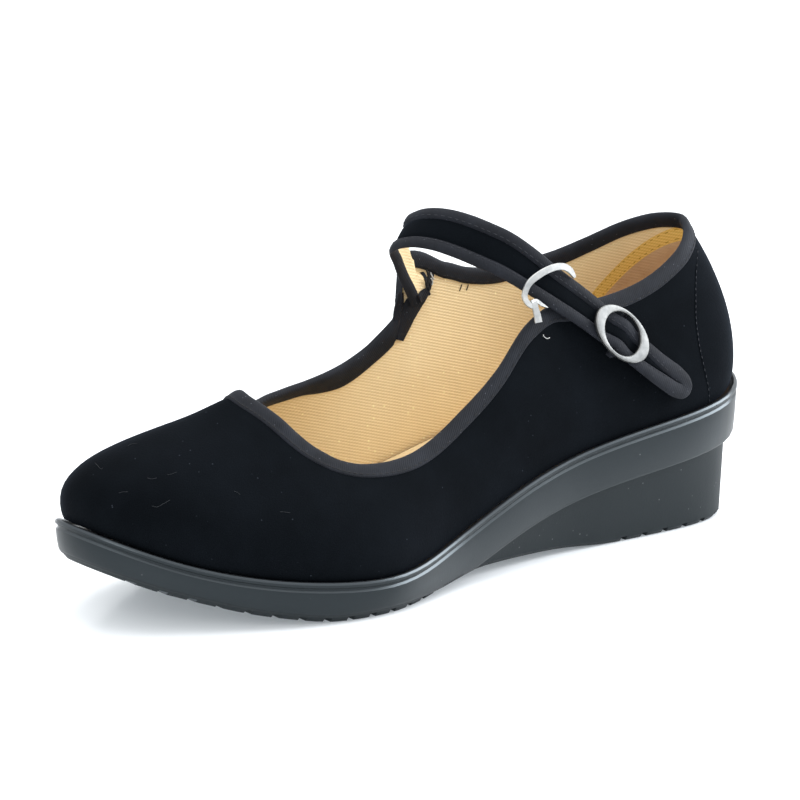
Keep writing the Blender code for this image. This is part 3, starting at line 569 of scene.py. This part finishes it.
# %% The upper
HOLLOW = [Vector(place) for place in (
    (-0.095, 0.004, 0.024), (-0.06, 0.003, 0.032), (-0.02, 0.003, 0.036),
    (0.02, 0.0036, 0.045), (0.06, 0.0036, 0.062), (0.098, 0.0036, 0.070))]


def inside_point(place):
    """The nearest point of the line inside the cavity."""
    best = None
    for a, b in zip(HOLLOW, HOLLOW[1:]):
        t = min(max((place - a).dot(b - a) / (b - a).length_squared, 0), 1)
        found = a + (b - a) * t
        if best is None or (found - place).length < (best - place).length:
            best = found
    return best


# Round the opening, in mm: the wall's top, a place below it, and the way in.
BINDING = (
    (-63.2, 2.7, 62.0, -67.5, 3.1, 59.8, 0.45, -0.1, -0.89),
    (-62.7, -0.9, 60.8, -66.9, -1.1, 58.6, 0.4, 0.42, -0.81),
    (-60.9, -5.6, 58.7, -65.0, -6.3, 56.4, 0.34, 0.54, -0.77),
    (-58.4, -10.3, 55.6, -62.5, -11.2, 53.3, 0.23, 0.7, -0.67),
    (-55.7, -14.0, 51.8, -59.7, -15.3, 49.4, 0.14, 0.76, -0.63),
    (-52.9, -17.0, 48.5, -56.6, -18.7, 46.1, 0.09, 0.75, -0.65),
    (-49.6, -19.7, 45.8, -52.9, -21.9, 43.2, 0.05, 0.72, -0.7),
    (-45.6, -22.0, 43.4, -48.4, -24.8, 40.8, 0.02, 0.68, -0.73),
    (-40.1, -24.1, 41.8, -42.3, -27.3, 38.9, 0.06, 0.65, -0.75),
    (-33.0, -25.5, 41.4, -34.5, -28.8, 38.2, 0.06, 0.69, -0.72),
    (-25.4, -25.6, 42.0, -26.3, -28.7, 38.4, 0.01, 0.75, -0.66),
    (-17.7, -24.6, 43.7, -17.9, -27.4, 39.8, 0.03, 0.82, -0.58),
    (-8.6, -23.1, 47.4, -8.5, -25.4, 43.2, 0.07, 0.87, -0.48),
    (2.0, -21.2, 53.6, 2.2, -23.2, 49.3, 0.09, 0.91, -0.41),
    (13.4, -18.9, 62.6, 13.6, -20.6, 58.2, 0.09, 0.93, -0.35),
    (24.7, -16.5, 72.7, 24.8, -18.0, 68.1, 0.03, 0.95, -0.31),
    (35.4, -14.9, 77.1, 35.6, -16.2, 72.5, -0.07, 0.95, -0.29),
    (46.1, -14.2, 76.7, 46.3, -15.5, 72.1, -0.05, 0.96, -0.28),
    (56.9, -13.8, 76.9, 57.2, -15.1, 72.3, -0.02, 0.96, -0.27),
    (66.6, -13.5, 78.0, 67.0, -14.8, 73.4, 0.02, 0.96, -0.26),
    (75.4, -13.2, 79.9, 76.0, -14.5, 75.3, 0.02, 0.97, -0.26),
    (84.6, -12.2, 83.2, 85.5, -13.5, 78.7, -0.04, 0.96, -0.29),
    (94.1, -9.6, 87.7, 95.4, -11.1, 83.3, -0.18, 0.91, -0.37),
    (100.4, -5.3, 91.6, 102.2, -6.7, 87.4, -0.46, 0.76, -0.46),
    (103.6, -0.5, 93.9, 105.9, -1.4, 89.8, -0.7, 0.51, -0.5),
    (105.5, 3.8, 94.7, 107.9, 3.8, 90.6, -0.86, 0.01, -0.51),
    (103.2, 7.9, 94.8, 105.5, 8.8, 90.7, -0.72, -0.48, -0.5),
    (99.5, 12.7, 93.8, 101.4, 14.1, 89.6, -0.53, -0.7, -0.47),
    (92.8, 18.0, 91.1, 94.2, 19.4, 86.7, -0.35, -0.86, -0.38),
    (83.5, 23.0, 86.7, 84.6, 23.9, 82.1, -0.27, -0.93, -0.24),
    (75.0, 25.6, 83.7, 75.7, 26.2, 79.0, -0.13, -0.98, -0.15),
    (67.1, 26.4, 82.2, 67.6, 27.0, 77.4, -0.06, -0.99, -0.13),
    (58.3, 27.1, 81.2, 58.7, 27.6, 76.4, -0.06, -0.99, -0.12),
    (49.1, 27.5, 80.5, 49.2, 28.0, 75.8, -0.02, -0.99, -0.1),
    (39.2, 27.8, 81.8, 39.1, 28.2, 77.0, -0.06, -0.99, -0.09),
    (28.7, 28.2, 84.5, 28.5, 28.6, 79.7, -0.03, -1.0, -0.08),
    (20.4, 28.5, 78.8, 19.8, 28.9, 74.0, 0.05, -1.0, -0.08),
    (12.4, 28.8, 68.8, 11.5, 29.3, 64.1, 0.11, -0.99, -0.13),
    (4.7, 29.0, 61.3, 3.3, 29.8, 56.8, 0.14, -0.97, -0.22),
    (-3.7, 28.8, 56.6, -5.4, 30.0, 52.3, 0.16, -0.93, -0.34),
    (-13.2, 28.1, 53.6, -15.1, 29.9, 49.6, 0.15, -0.87, -0.46),
    (-22.7, 27.1, 52.0, -24.8, 29.3, 48.3, 0.14, -0.81, -0.57),
    (-31.3, 25.8, 51.1, -33.7, 28.3, 47.7, 0.18, -0.72, -0.67),
    (-38.2, 24.0, 50.6, -40.9, 26.4, 47.5, 0.25, -0.64, -0.72),
    (-43.5, 21.7, 50.5, -46.5, 23.9, 47.5, 0.28, -0.62, -0.73),
    (-47.8, 19.3, 51.1, -51.1, 21.3, 48.2, 0.22, -0.67, -0.71),
    (-51.6, 16.8, 52.5, -55.2, 18.5, 49.8, 0.19, -0.69, -0.7),
    (-55.4, 13.8, 54.4, -59.2, 15.4, 51.8, 0.19, -0.7, -0.69),
    (-59.2, 10.3, 57.1, -63.1, 11.6, 54.6, 0.19, -0.71, -0.68),
    (-62.0, 6.5, 60.1, -66.2, 7.4, 57.9, 0.26, -0.62, -0.74),
)


CORNER_SAG, FRONT_LIFT, CORNER_LIFT = Vector((0.0027, 0, 0)), Vector((0, 0, 0.0020)), Vector((-0.0028, 0, 0.0125))


def between(at, rise, top, fall, end):
    """0 outside rise and end, 1 from top to fall, and even curves between."""
    return smoothstep(rise, top, at) * (1 - smoothstep(fall, end, at))


def eased(place, share=1.0):
    """Cloth gives: the buckle side's front corner sags back, and the far side stands up, most at its corner."""
    if place.y < 0:
        move = CORNER_SAG * between(place.x, -0.004, 0.014, 0.028, 0.046)
    else:
        move = FRONT_LIFT * between(place.x, -0.060, -0.040, 0.004, 0.017)
        move += CORNER_LIFT * between(place.x, 0.0120, 0.0172, 0.0172, 0.031)
    return place + move * share


def topline(at):
    """At 0 to 1 round the opening: the top of the wall, the way down it, and the way out of it."""
    row = through(BINDING, at % 1.0, closed=True)
    top, low, inward = eased(Vector(row[0:3]) * MM), eased(Vector(row[3:6]) * MM), Vector(row[6:9])
    down = (low - top).normalized()
    out = -(inward - down * inward.dot(down)).normalized()
    return top, down, out


def smoothed_through(piece, free, levels=2):
    """Subdivides a piece after moving its free points out, so that the smooth surface passes through them."""
    wanted = [vertex.co.copy() for vertex in piece.data.vertices]
    only(piece)
    modifier = piece.modifiers.new("smooth", "SUBSURF")
    modifier.levels = modifier.render_levels = levels
    for _ in range(3):
        bpy.context.view_layer.update()
        smooth = piece.evaluated_get(bpy.context.evaluated_depsgraph_get()).data
        moves = [wanted[k] - smooth.vertices[k].co for k in free]
        for k, move in zip(free, moves):
            piece.data.vertices[k].co += move
        piece.data.update()
    bpy.ops.object.modifier_apply(modifier=modifier.name)
    print(f"{piece.name}: last moves up to {max(move.length for move in moves) / MM:.2f} mm")


RIM_DEPTH, RIM_LIFT = 0.0062, 0.0032
THINNED_OUTSIDE, THINNED_INSIDE = 0.12, 0.5
upper = copied("upper", "upper_shell")
edge = [topline(k / 400) for k in range(400)]
rim = set()
for vertex in upper.data.vertices:
    top, down, out = min(edge, key=lambda row: (row[0] + row[1] * 0.005 - vertex.co).length)
    depth = (vertex.co - top).dot(down)
    vertex.co = eased(vertex.co, 1 - smoothstep(0.005, 0.026, depth))
    depth = (vertex.co - top).dot(down)
    if depth < RIM_DEPTH:
        across = (vertex.co - top).dot(out)
        vertex.co -= down * RIM_LIFT + out * across * (THINNED_OUTSIDE if across > 0 else THINNED_INSIDE)
        rim.add(vertex.index)
foot = {k for face in upper.data.polygons if face.normal.z < -0.7 for k in face.vertices}
print("points lifted into the binding:", len(rim), "points of the foot:", len(foot))
smoothed_through(upper, [vertex.index for vertex in upper.data.vertices if vertex.index not in rim | foot])
for face in upper.data.polygons:
    face.material_index = int(face.normal.dot(inside_point(face.center) - face.center) > 0)
finished(upper, "upper", VELVET, TWILL, replaces="upper", smooth=50)

# %% [markdown]
# ## The binding
# A strip of bias tape is folded over the raw edge of the opening and sewn through, so its section is
# a soft round top with two flat legs. A grid is rolled to that section along the opening.

# %% The binding
TAPE_SECTION = (
    (0.0, 5.3), (0.7, 5.25), (1.02, 5.12), (1.22, 4.8), (1.22, 4.3), (1.17, 4.0), (1.26, 3.3), (1.30, 2.2),
    (1.22, 1.2), (0.92, 0.4), (0.45, -0.02), (-0.1, -0.1), (-0.68, 0.06), (-1.15, 0.5), (-1.45, 1.3),
    (-1.55, 2.6), (-1.48, 3.9), (-1.42, 4.8), (-1.1, 5.12), (-0.6, 5.25))


def turned_in(top):
    """How much deeper the tape's inner leg reaches, as the strap's end is sewn under it by the far corner."""
    return 1 + 0.85 * between(top.x, -0.026, -0.002, 0.014, 0.020) if top.y > 0 else 1


def tape_point(u, column):
    """A point of the tape's section, slack by a little along the opening."""
    top, down, out = topline(u)
    across, drop = TAPE_SECTION[column]
    if across < -0.5 and drop > 1.2:
        across, drop = across - 0.3 * (turned_in(top) - 1), drop * turned_in(top)
    slack = 1 + 0.05 * math.sin(u * 171) * math.sin(u * 67)
    return top + out * across * MM * slack + down * drop * MM


binding = tube_grid("binding", 300, len(TAPE_SECTION), tape_point, closed_along=True)
finished(binding, "topline_binding", TAPE, replaces="topline_binding", smooth=60)

# %% [markdown]
# ## The strap
# Velvet between two piped edges, lined underneath with the same golden twill. It leaves the inside of
# the far quarter, turns over, crosses the foot, runs through the slider ring and ends in a round tip.

# %% The strap's path
# Along the strap's middle, in metres: a place, the way along, and the way out of the face.
STRAP = (
    (0.0237, 0.0261, 0.0738, -0.489, -0.016, 0.872, 0.006, 1.0, 0.021),
    (0.0204, 0.0257, 0.0801, -0.512, -0.028, 0.858, -0.045, 0.999, 0.006),
    (0.0165, 0.0255, 0.0861, -0.527, -0.095, 0.845, -0.177, 0.984, 0.0),
    (0.0125, 0.0242, 0.0921, -0.604, -0.242, 0.76, -0.323, 0.945, 0.044),
    (0.0085, 0.0212, 0.0973, -0.272, -0.725, 0.632, -0.643, 0.626, 0.441),
    (0.0098, 0.0148, 0.1001, 0.431, -0.884, 0.184, -0.641, -0.157, 0.751),
    (0.0136, 0.0087, 0.1003, 0.581, -0.806, -0.111, -0.561, -0.496, 0.662),
    (0.0178, 0.0031, 0.0988, 0.577, -0.767, -0.28, -0.54, -0.616, 0.574),
    (0.022, -0.0023, 0.0965, 0.604, -0.715, -0.352, -0.501, -0.685, 0.53),
    (0.0265, -0.0072, 0.0937, 0.622, -0.642, -0.448, -0.428, -0.758, 0.493),
    (0.031, -0.0114, 0.09, 0.653, -0.509, -0.561, -0.297, -0.853, 0.43),
    (0.036, -0.0143, 0.0857, 0.73, -0.323, -0.603, -0.126, -0.93, 0.346),
    (0.0415, -0.0161, 0.0815, 0.795, -0.193, -0.576, 0.001, -0.948, 0.319),
    (0.0472, -0.0174, 0.0773, 0.782, -0.181, -0.597, 0.051, -0.935, 0.35),
    (0.0527, -0.0188, 0.0729, 0.746, -0.211, -0.632, 0.072, -0.918, 0.391),
    (0.058, -0.0203, 0.0683, 0.742, -0.205, -0.638, 0.088, -0.914, 0.396),
    (0.0633, -0.0219, 0.0637, 0.732, -0.221, -0.645, 0.072, -0.916, 0.396),
    (0.0686, -0.0235, 0.0591, 0.735, -0.223, -0.641, 0.057, -0.92, 0.387),
    (0.0739, -0.025, 0.0545, 0.762, -0.186, -0.621, 0.062, -0.932, 0.356),
    (0.0796, -0.026, 0.0502, 0.804, -0.103, -0.585, 0.089, -0.953, 0.29),
    (0.0854, -0.0266, 0.0461, 0.82, -0.07, -0.568, 0.069, -0.973, 0.22),
)
STRAP_LENGTH = 0.1442
STRAP_SHARES = ((0, 1), (0.42, 1), (0.566, 0.86), (0.69, 0.82), (0.82, 0.74), (1, 0.70))
STRAP_WIDTH, TIP_LENGTH = 0.015, 0.0085
RING_AT, RING_OPENING, RING_GAP, RING_REACH = 0.772, 0.0128, 0.0006, 0.42 * 0.0148


def strap_at(at):
    """At 0 to 1 along the strap: its middle, the way across it, and the way out of its face."""
    row = through(STRAP, at)
    run, face = Vector(row[3:6]), Vector(row[6:9])
    across = face.cross(run).normalized()
    return Vector(row[0:3]), across, run.cross(across).normalized()


def half_width(at):
    """Half the strap's width: less towards the tip, gathered in the ring, and round at its end."""
    for (a, wide), (b, narrow) in zip(STRAP_SHARES, STRAP_SHARES[1:]):
        if at <= b:
            free = STRAP_WIDTH * (wide + (narrow - wide) * (at - a) / (b - a))
            break
    inside = in_ring(at)
    gathered = min(free, RING_OPENING - 2 * RING_GAP)
    to_tip = min(max((1 - at) * STRAP_LENGTH / TIP_LENGTH, 0.02), 1)
    return (free + (gathered - free) * inside) / 2 * math.sqrt(1 - (1 - to_tip) ** 2)


def in_ring(at):
    """1 at the slider's middle and 0 away from it."""
    return 1 - smoothstep(0, RING_REACH, abs(at - RING_AT) * STRAP_LENGTH)


# %% The strap
PIPE, ROOT_PIPE = 0.0040, 0.0046
STRAP_STEPS = 240


def strap_section(half, seam, closed=0.0):
    """The section's points, (across, out, part), round from the middle. Part 0 is velvet, 1 tape, 2 lining."""
    share = (half - seam) / PIPE
    one_side = [
        (seam * 0.5, 0.42, 0), (seam * 0.96, 0.22, 0), (seam, 0.10, 1), (seam + 0.00028 * share, 0.62, 1),
        (seam + 0.0009 * share, 0.98, 1), (seam + 0.0019 * share, 1.12, 1), (seam + 0.0030 * share, 1.0, 1),
        (half - 0.0003 * share, 0.55, 1), (half, 0.0, 1), (half - 0.0003 * share, -0.55, 1),
        (half - 0.0010 * share, -0.95, 1), (half - 0.0020 * share, -1.05, 1), (half - 0.0030 * share, -0.95, 1),
        (half - 0.0032 * share, -0.62, 2), (seam * 0.4, -0.70, 2)]
    one_side = [
        (across, out + (1.0 - out) * closed if k < 4 else out, part) for k, (across, out, part) in enumerate(one_side)]
    other = [(-across, out, part) for across, out, part in reversed(one_side)]
    return [(0.0, 0.45 + 0.55 * closed, 0), *one_side, (0.0, -0.72, 2), *other]


def seam_at(u, half):
    """Half the width of the velvet between the bindings: it runs out to a point before the tip."""
    pipe = ROOT_PIPE + (PIPE - ROOT_PIPE) * smoothstep(0.15, 0.22, u)
    return max(half - pipe, half * 0.16) * (1 - 0.97 * smoothstep(0.81, 0.955, u))


ROOT_FOLD = math.radians(74)
RING_LIFT = 0.0015


def on_strap(u, side, out):
    """A point on the strap: u along it, metres across it and out of its face. Its root is folded back."""
    middle, across, face = strap_at(0.018 + 0.982 * u)
    fold = ROOT_FOLD * between(u, 0.02, 0.06, 0.10, 0.17)
    crease = -0.0024 + 0.0030 * smoothstep(0.0, 0.13, u)
    if side > crease:
        reach = (side - crease) * (0.30 + 0.70 * smoothstep(0.02, 0.06, u))
        cos, sin = math.cos(fold), math.sin(fold)
        side, out = crease + reach * cos - out * sin, reach * sin + out * cos
    return middle + face * (in_ring(u) * RING_LIFT + out) + across * side


parts = [part for _, _, part in strap_section(0.007, 0.003)]
SECTION_COUNT = len(parts)


def strap_point(u, column):
    """A point of the strap's section. The section closes over the velvet at the tip."""
    half = half_width(u)
    side, out, _ = strap_section(half, seam_at(u, half), smoothstep(0.95, 0.972, u))[column]
    return on_strap(u, side, out * min(1.0, half / 0.004) ** 0.5 * MM)


strap = tube_grid("strap_bound", STRAP_STEPS, SECTION_COUNT, strap_point)
uv = strap.data.uv_layers.active.data
for face in strap.data.polygons:
    around = sum(uv[i].uv.y for i in face.loop_indices) / face.loop_total
    column = min(int(around * SECTION_COUNT), SECTION_COUNT - 1)
    pair = (parts[column], parts[(column + 1) % SECTION_COUNT])
    face.material_index = 1 if 1 in pair else pair[0]
finished(strap, "strap", VELVET, TAPE, TWILL, replaces="strap", smooth=60)

# %% [markdown]
# ## The slider ring
# The ring is a small nickel casting, so its piece is a copy of the solid with rounded edges, which is
# what catches the light. Its low faces wear the tape's finish. That hides a grey tab under the ring, and
# is no wrapping that the photograph shows.

# %% The slider ring
# The axes along, across and out of the ring, and its middle.
RING = Matrix((
    (0.739, 0.6681, 0.0867, 0.0604), (-0.2074, 0.3481, -0.9142, -0.021),
    (-0.641, 0.6576, 0.3958, 0.0663), (0, 0, 0, 1)))
HOLE_LONG, HOLE_WIDE, WIDENED, BAR_TOP = 9.3, 7.2, 1.1, 0.0016
ring = copied("slider_ring", "ring")
for vertex in ring.data.vertices:
    local = RING.inverted() @ vertex.co
    if (local.x / HOLE_LONG) ** 2 + (local.y / HOLE_WIDE) ** 2 < MM ** 2:
        local.y *= WIDENED
        vertex.co = RING @ local
for face in ring.data.polygons:
    face.material_index = int((RING.inverted() @ face.center).z < BAR_TOP)
applied(ring, "BEVEL", width=0.00022, segments=2, limit_method="ANGLE", angle_limit=math.radians(30))
finished(ring, "slider_ring", RING_METAL, TAPE, replaces="slider_ring", smooth=40)

# %% [markdown]
# ## The hook, bent anew
# The real hook is a flat strip of nickel bent to an arch over the strap, with a flat tongue and a
# small prong below. Its line is drawn where the photograph shows it, in the plane of the CAD hook.

# %% The hook
HOOK_CENTRE = Vector((37.7, -15.0, 84.4)) * MM
HOOK_OUT = Vector((-0.0782, -0.9407, 0.3302)).normalized()


def on_hook_plane(across, down, out):
    """Where the line of sight through a place of the picture meets the hook's plane, lifted out by mm."""
    ray = sight(across, down)
    plane = HOOK_CENTRE + HOOK_OUT * out * MM
    return EYE + ray * ((plane - EYE).dot(HOOK_OUT) / ray.dot(HOOK_OUT))


def flat_strip(name, line, widths, thickness, steps):
    """A flat strip of metal along picture places (across, down, lift), with widths in mm in the hook's plane."""
    points = [on_hook_plane(*row) for row in line]
    corners = ((1, 0.6), (0.82, 1), (-0.82, 1), (-1, 0.6), (-1, -0.6), (-0.82, -1), (0.82, -1), (1, -0.6))

    def place(u, column):
        here, run = line_at(points, u, 0.01)
        run = run.normalized()
        side = HOOK_OUT.cross(run).normalized()
        wide, high = corners[column]
        half = through([[width] for width in widths], u)[0] / 2 * MM
        return here + side * wide * half + side.cross(run).normalized() * high * thickness / 2 * MM

    return tube_grid(name, steps, len(corners), place)


ARCH = (
    (533.8, 306.5, 1.9), (529.2, 304.6, 2.0), (525.8, 300.6, 2.3), (524.6, 295.2, 2.7), (526.3, 288.6, 2.9),
    (530.2, 282.0, 3.0), (537.7, 275.7, 3.1), (546.8, 270.3, 3.1), (555.9, 267.0, 3.0), (563.8, 266.8, 2.7),
    (570.2, 270.6, 2.0), (574.3, 277.0, 1.0))
ARCH_WIDTHS = (1.8, 1.8, 1.8, 1.9, 1.9, 2.0, 2.1, 2.1, 2.1, 2.1, 2.0, 1.2)
TONGUE = ((533.8, 301.8, 2.1), (535.3, 308.0, 2.0), (537.2, 315.0, 1.9), (538.6, 322.6, 1.8))
PRONG = ((531.0, 301.8, 2.3), (536.0, 300.8, 1.9), (541.5, 304.4, 1.4), (547.3, 307.6, 1.0))
arch = flat_strip("hook_arch", ARCH, ARCH_WIDTHS, 0.9, 60)
tongue = flat_strip("hook_tongue", TONGUE, (2.2, 2.1, 2.3, 2.5), 0.8, 16)
prong = flat_strip("hook_prong", PRONG, (0.9, 1.2, 1.1, 0.3), 0.7, 16)
finished(arch, "hook_buckle", METAL, replaces="hook_buckle", smooth=32)
for piece in (tongue, prong):
    finished(piece, "hook_buckle", METAL, smooth=32)

# %% [markdown]
# ## Seams, stitches and loose threads
# One stitch is modelled and copied along each seam. Loose threads are thin tubes laid where the
# line of sight through a place of the photograph meets the finished surfaces.

# %% Helpers for threads
SURFACES = {}
THREAD_SIDES = 6


def on_surface(piece, across, down, lift=0.1):
    """The point of a piece that the camera sees at a place of the picture, lifted by mm, and its normal."""
    if piece.name not in SURFACES:
        SURFACES[piece.name] = BVHTree.FromPolygons(
            [vertex.co.copy() for vertex in piece.data.vertices], [list(face.vertices) for face in piece.data.polygons])
    ray = sight(across, down)
    place, normal, _, _ = SURFACES[piece.name].ray_cast(EYE, ray)
    if place is None:
        raise RuntimeError(f"nothing of {piece.name} is seen at {across}, {down}")
    if normal.dot(ray) > 0:
        normal = -normal
    return place + normal * lift * MM, normal


def loose_thread(name, places, radius, steps, slot, material):
    """A thin round tube through a list of points."""
    points = [list(place) for place in places]

    def place(u, column):
        here, run = line_at(points, u, 0.02)
        run = run.normalized()
        side = run.cross(BACK).normalized()
        turn = column * math.tau / THREAD_SIDES
        return here + (side * math.cos(turn) + side.cross(run) * math.sin(turn)) * radius * MM

    return finished(tube_grid(name, steps, THREAD_SIDES, place), slot, material, smooth=60)


def sewn_row(name, places, length, slot, material, thick=0.17):
    """One stitch copied to each (point, direction, out), and the copies joined to one row."""
    bpy.ops.object.select_all(action="DESELECT")
    bpy.ops.mesh.primitive_uv_sphere_add(segments=8, ring_count=5, radius=0.5, location=(0, 0, 0))
    pattern = bpy.context.object
    pattern.scale = (length * MM, 2 * thick * MM, 1.4 * thick * MM)
    bpy.ops.object.transform_apply(location=False, rotation=False, scale=True)
    row = []
    for point, run, out in places:
        run = run.normalized()
        side = out.cross(run).normalized()
        up = run.cross(side)
        stitch = bpy.data.objects.new(name, pattern.data.copy())
        stitch.data.transform(standing(run, side, up, point))
        bpy.context.scene.collection.objects.link(stitch)
        row.append(stitch)
    bpy.data.objects.remove(pattern)
    only(row[0])
    for stitch in row:
        stitch.select_set(True)
    bpy.ops.object.join()
    return finished(bpy.context.object, slot, material, smooth=60)


def spaced(place, count):
    """(point, direction, out) at equal steps of a path that gives a point and a way out at 0 to 1."""
    rows = []
    for k in range(count):
        u = (k + 0.5) / count
        (point, out), (ahead, _), (behind, _) = place(u), place(u + 0.001), place(u - 0.001)
        rows.append((point, ahead - behind, out))
    return rows


# %% The stitches
STITCH = 1.5  # mm


def outer_leg(u):
    """The stitched line low on the tape's outer leg."""
    top, down, out = topline(u)
    return top + out * 1.24 * MM + down * 4.3 * MM, out


def inner_leg(u):
    """The stitched line low on the tape's inner leg."""
    top, down, out = topline(u)
    deeper = turned_in(top)
    return top - out * (1.47 + 0.3 * (deeper - 1)) * MM + down * 4.2 * deeper * MM, -out


def strap_edge(sign):
    """The stitched line along one of the strap's bindings, as a path."""
    def place(u):
        at = 0.02 + 0.90 * u
        half = half_width(at)
        seam = seam_at(at, half)
        _, _, face = strap_at(at)
        return on_strap(at, sign * (seam + 0.0008), 0.00098 * min(1.0, half / 0.004) ** 0.5), face
    return place


sewn_row("binding_stitches", spaced(outer_leg, 190), STITCH, "topline_binding", DARK_THREAD)
sewn_row("binding_stitches_inside", spaced(inner_leg, 190), STITCH, "topline_binding", DARK_THREAD)
sewn_row("strap_stitches_upper", spaced(strap_edge(1), 62), STITCH, "strap", GREY_THREAD, 0.12)
sewn_row("strap_stitches_lower", spaced(strap_edge(-1), 62), STITCH, "strap", GREY_THREAD, 0.12)

# %% [markdown]
# ## The sewn-in end of the strap
# Three strips of tape, placed by the photograph's view. Two cover the blunt end of the strap's root and
# the lining beside it. The third covers lining that stood past the tape at the raised corner.

# %% The sewn-in end
def surface_strip(name, piece, line, widths, thickness, steps):
    """A flat strip of cloth laid on a piece along picture places, with widths in mm."""
    points, faces = zip(*(on_surface(piece, across, down, lift=thickness * 500) for across, down in line))
    corners = ((1, 0.2), (0.85, 1), (-0.85, 1), (-1, 0.2), (-1, -0.8), (0, -1), (1, -0.8))

    def place(u, column):
        here, run = line_at(points, u, 0.02)
        face = Vector(through(faces, u)).normalized()
        side = face.cross(run).normalized()
        wide, high = corners[column]
        half = through([[width] for width in widths], u)[0]
        return here + side * wide * half / 2 * MM + face * high * thickness / 2

    return tube_grid(name, steps, len(corners), place)


SEWN_LINE = ((431, 273), (427, 284), (421.5, 294), (413.5, 303), (407.2, 314), (403, 326), (399, 340))
END_LINE = ((427.5, 290), (424.5, 293), (421.5, 296), (418.5, 299))
TURN_LINE = ((400.4, 293), (399.4, 302), (397.0, 311), (394.6, 320))
sewn_end = surface_strip("sewn_end", upper, SEWN_LINE, (1.5, 3.2, 4.6, 6.4, 6.2, 5.0, 2.6), 0.0009, 40)
strap_end = surface_strip("strap_end", strap, END_LINE, (2.0, 3.2, 3.4, 2.8), 0.0007, 12)
corner_turn = surface_strip("corner_turn", upper, TURN_LINE, (1.8, 2.7, 2.3, 1.3), 0.0007, 12)
finished(sewn_end, "topline_binding", TAPE, smooth=50)
finished(strap_end, "strap", TAPE, smooth=50)
finished(corner_turn, "topline_binding", TAPE, smooth=50)

# %% The quarter's seam and the loose threads
QUARTER_SEAM = (
    (697.5, 250), (696.2, 268), (695.5, 285), (695.5, 302), (695.7, 318),
    (697.5, 334), (700, 350), (704, 368), (708, 387), (709, 402))
seam_line = [on_surface(upper, *place, lift=0.04) for place in QUARTER_SEAM]
loose_thread("quarter_ridge", [point for point, _ in seam_line], 0.22, 90, "upper", VELVET)


def seam_place(u):
    """A point just over the quarter's seam, and the way out of it."""
    raised, normals = [point + out * 0.00016 for point, out in seam_line], [out for _, out in seam_line]
    return Vector(through(raised, u)), Vector(through(normals, u))


sewn_row("quarter_stitches", spaced(seam_place, 26), 1.1, "upper", GREY_THREAD, 0.13)


def laid(name, places, radius, material, lift=0.15):
    """A loose thread that lies on the upper."""
    points = [on_surface(upper, *place, lift=lift)[0] for place in places]
    return loose_thread(name, points, radius, 14, "upper", material)


CURL = ((543.0, 334.6), (543.6, 336.4), (545.2, 337.9), (547.2, 338.6), (549.5, 337.6))
laid("curled_thread", CURL, 0.13, PALE_THREAD)
FIBRES = (
    ((152, 506), (157, 507), (163, 504), (170, 500)), ((147, 478), (152, 479), (157, 478)),
    ((119, 493), (123, 492), (128, 492)), ((167, 475), (172, 474), (177, 472)),
    ((95, 463), (98, 466), (101, 469), (103, 468)), ((234, 491), (238, 493), (240, 495)),
    ((280, 512), (284, 512), (290, 513)), ((128, 446), (132, 444), (137, 444)))
for k, fibre in enumerate(FIBRES):
    laid(f"fibre_{k}", fibre, 0.07, FIBRE, lift=0.06)


def in_front(across, down, depth):
    """Where the line of sight through a place of the picture meets the upright plane at this y."""
    ray = sight(across, down)
    return EYE + ray * ((depth * MM - EYE.y) / ray.y)


TORN_AT = 24.6  # mm, y of the torn end of the strap
DARK_TORN = (
    ((426.5, 270), (428.5, 277), (427.6, 284), (429.0, 291)), ((429.5, 272), (428.6, 280), (430.5, 287), (428.4, 292)),
    ((424.6, 279), (427.0, 285), (425.4, 290)))
PALE_TORN = (((430.5, 272.5), (432.0, 276), (434.3, 279.5)), ((431.0, 278), (432.6, 281), (432.2, 285)))
for k, torn in enumerate(DARK_TORN + PALE_TORN):
    made, radius = (DARK_THREAD, 0.30) if torn in DARK_TORN else (PALE_THREAD, 0.20)
    loose_thread(f"torn_thread_{k}", [in_front(*spot, TORN_AT) for spot in torn], radius, 14, "strap", made)
laid("rear_thread_left", ((461.5, 284.5), (460.6, 287.5), (459.2, 291.0)), 0.16, DARK_THREAD)
laid("rear_thread_right", ((468.2, 284.5), (467.4, 287.0), (466.2, 290.3)), 0.16, DARK_THREAD)

# %% [markdown]
# ## The insole
# A board covered in the same twill as the lining.

# %% The insole
insole = copied("insole", "insole_cover")
finished(insole, "insole", TWILL_FLAT, replaces="insole", smooth=50)
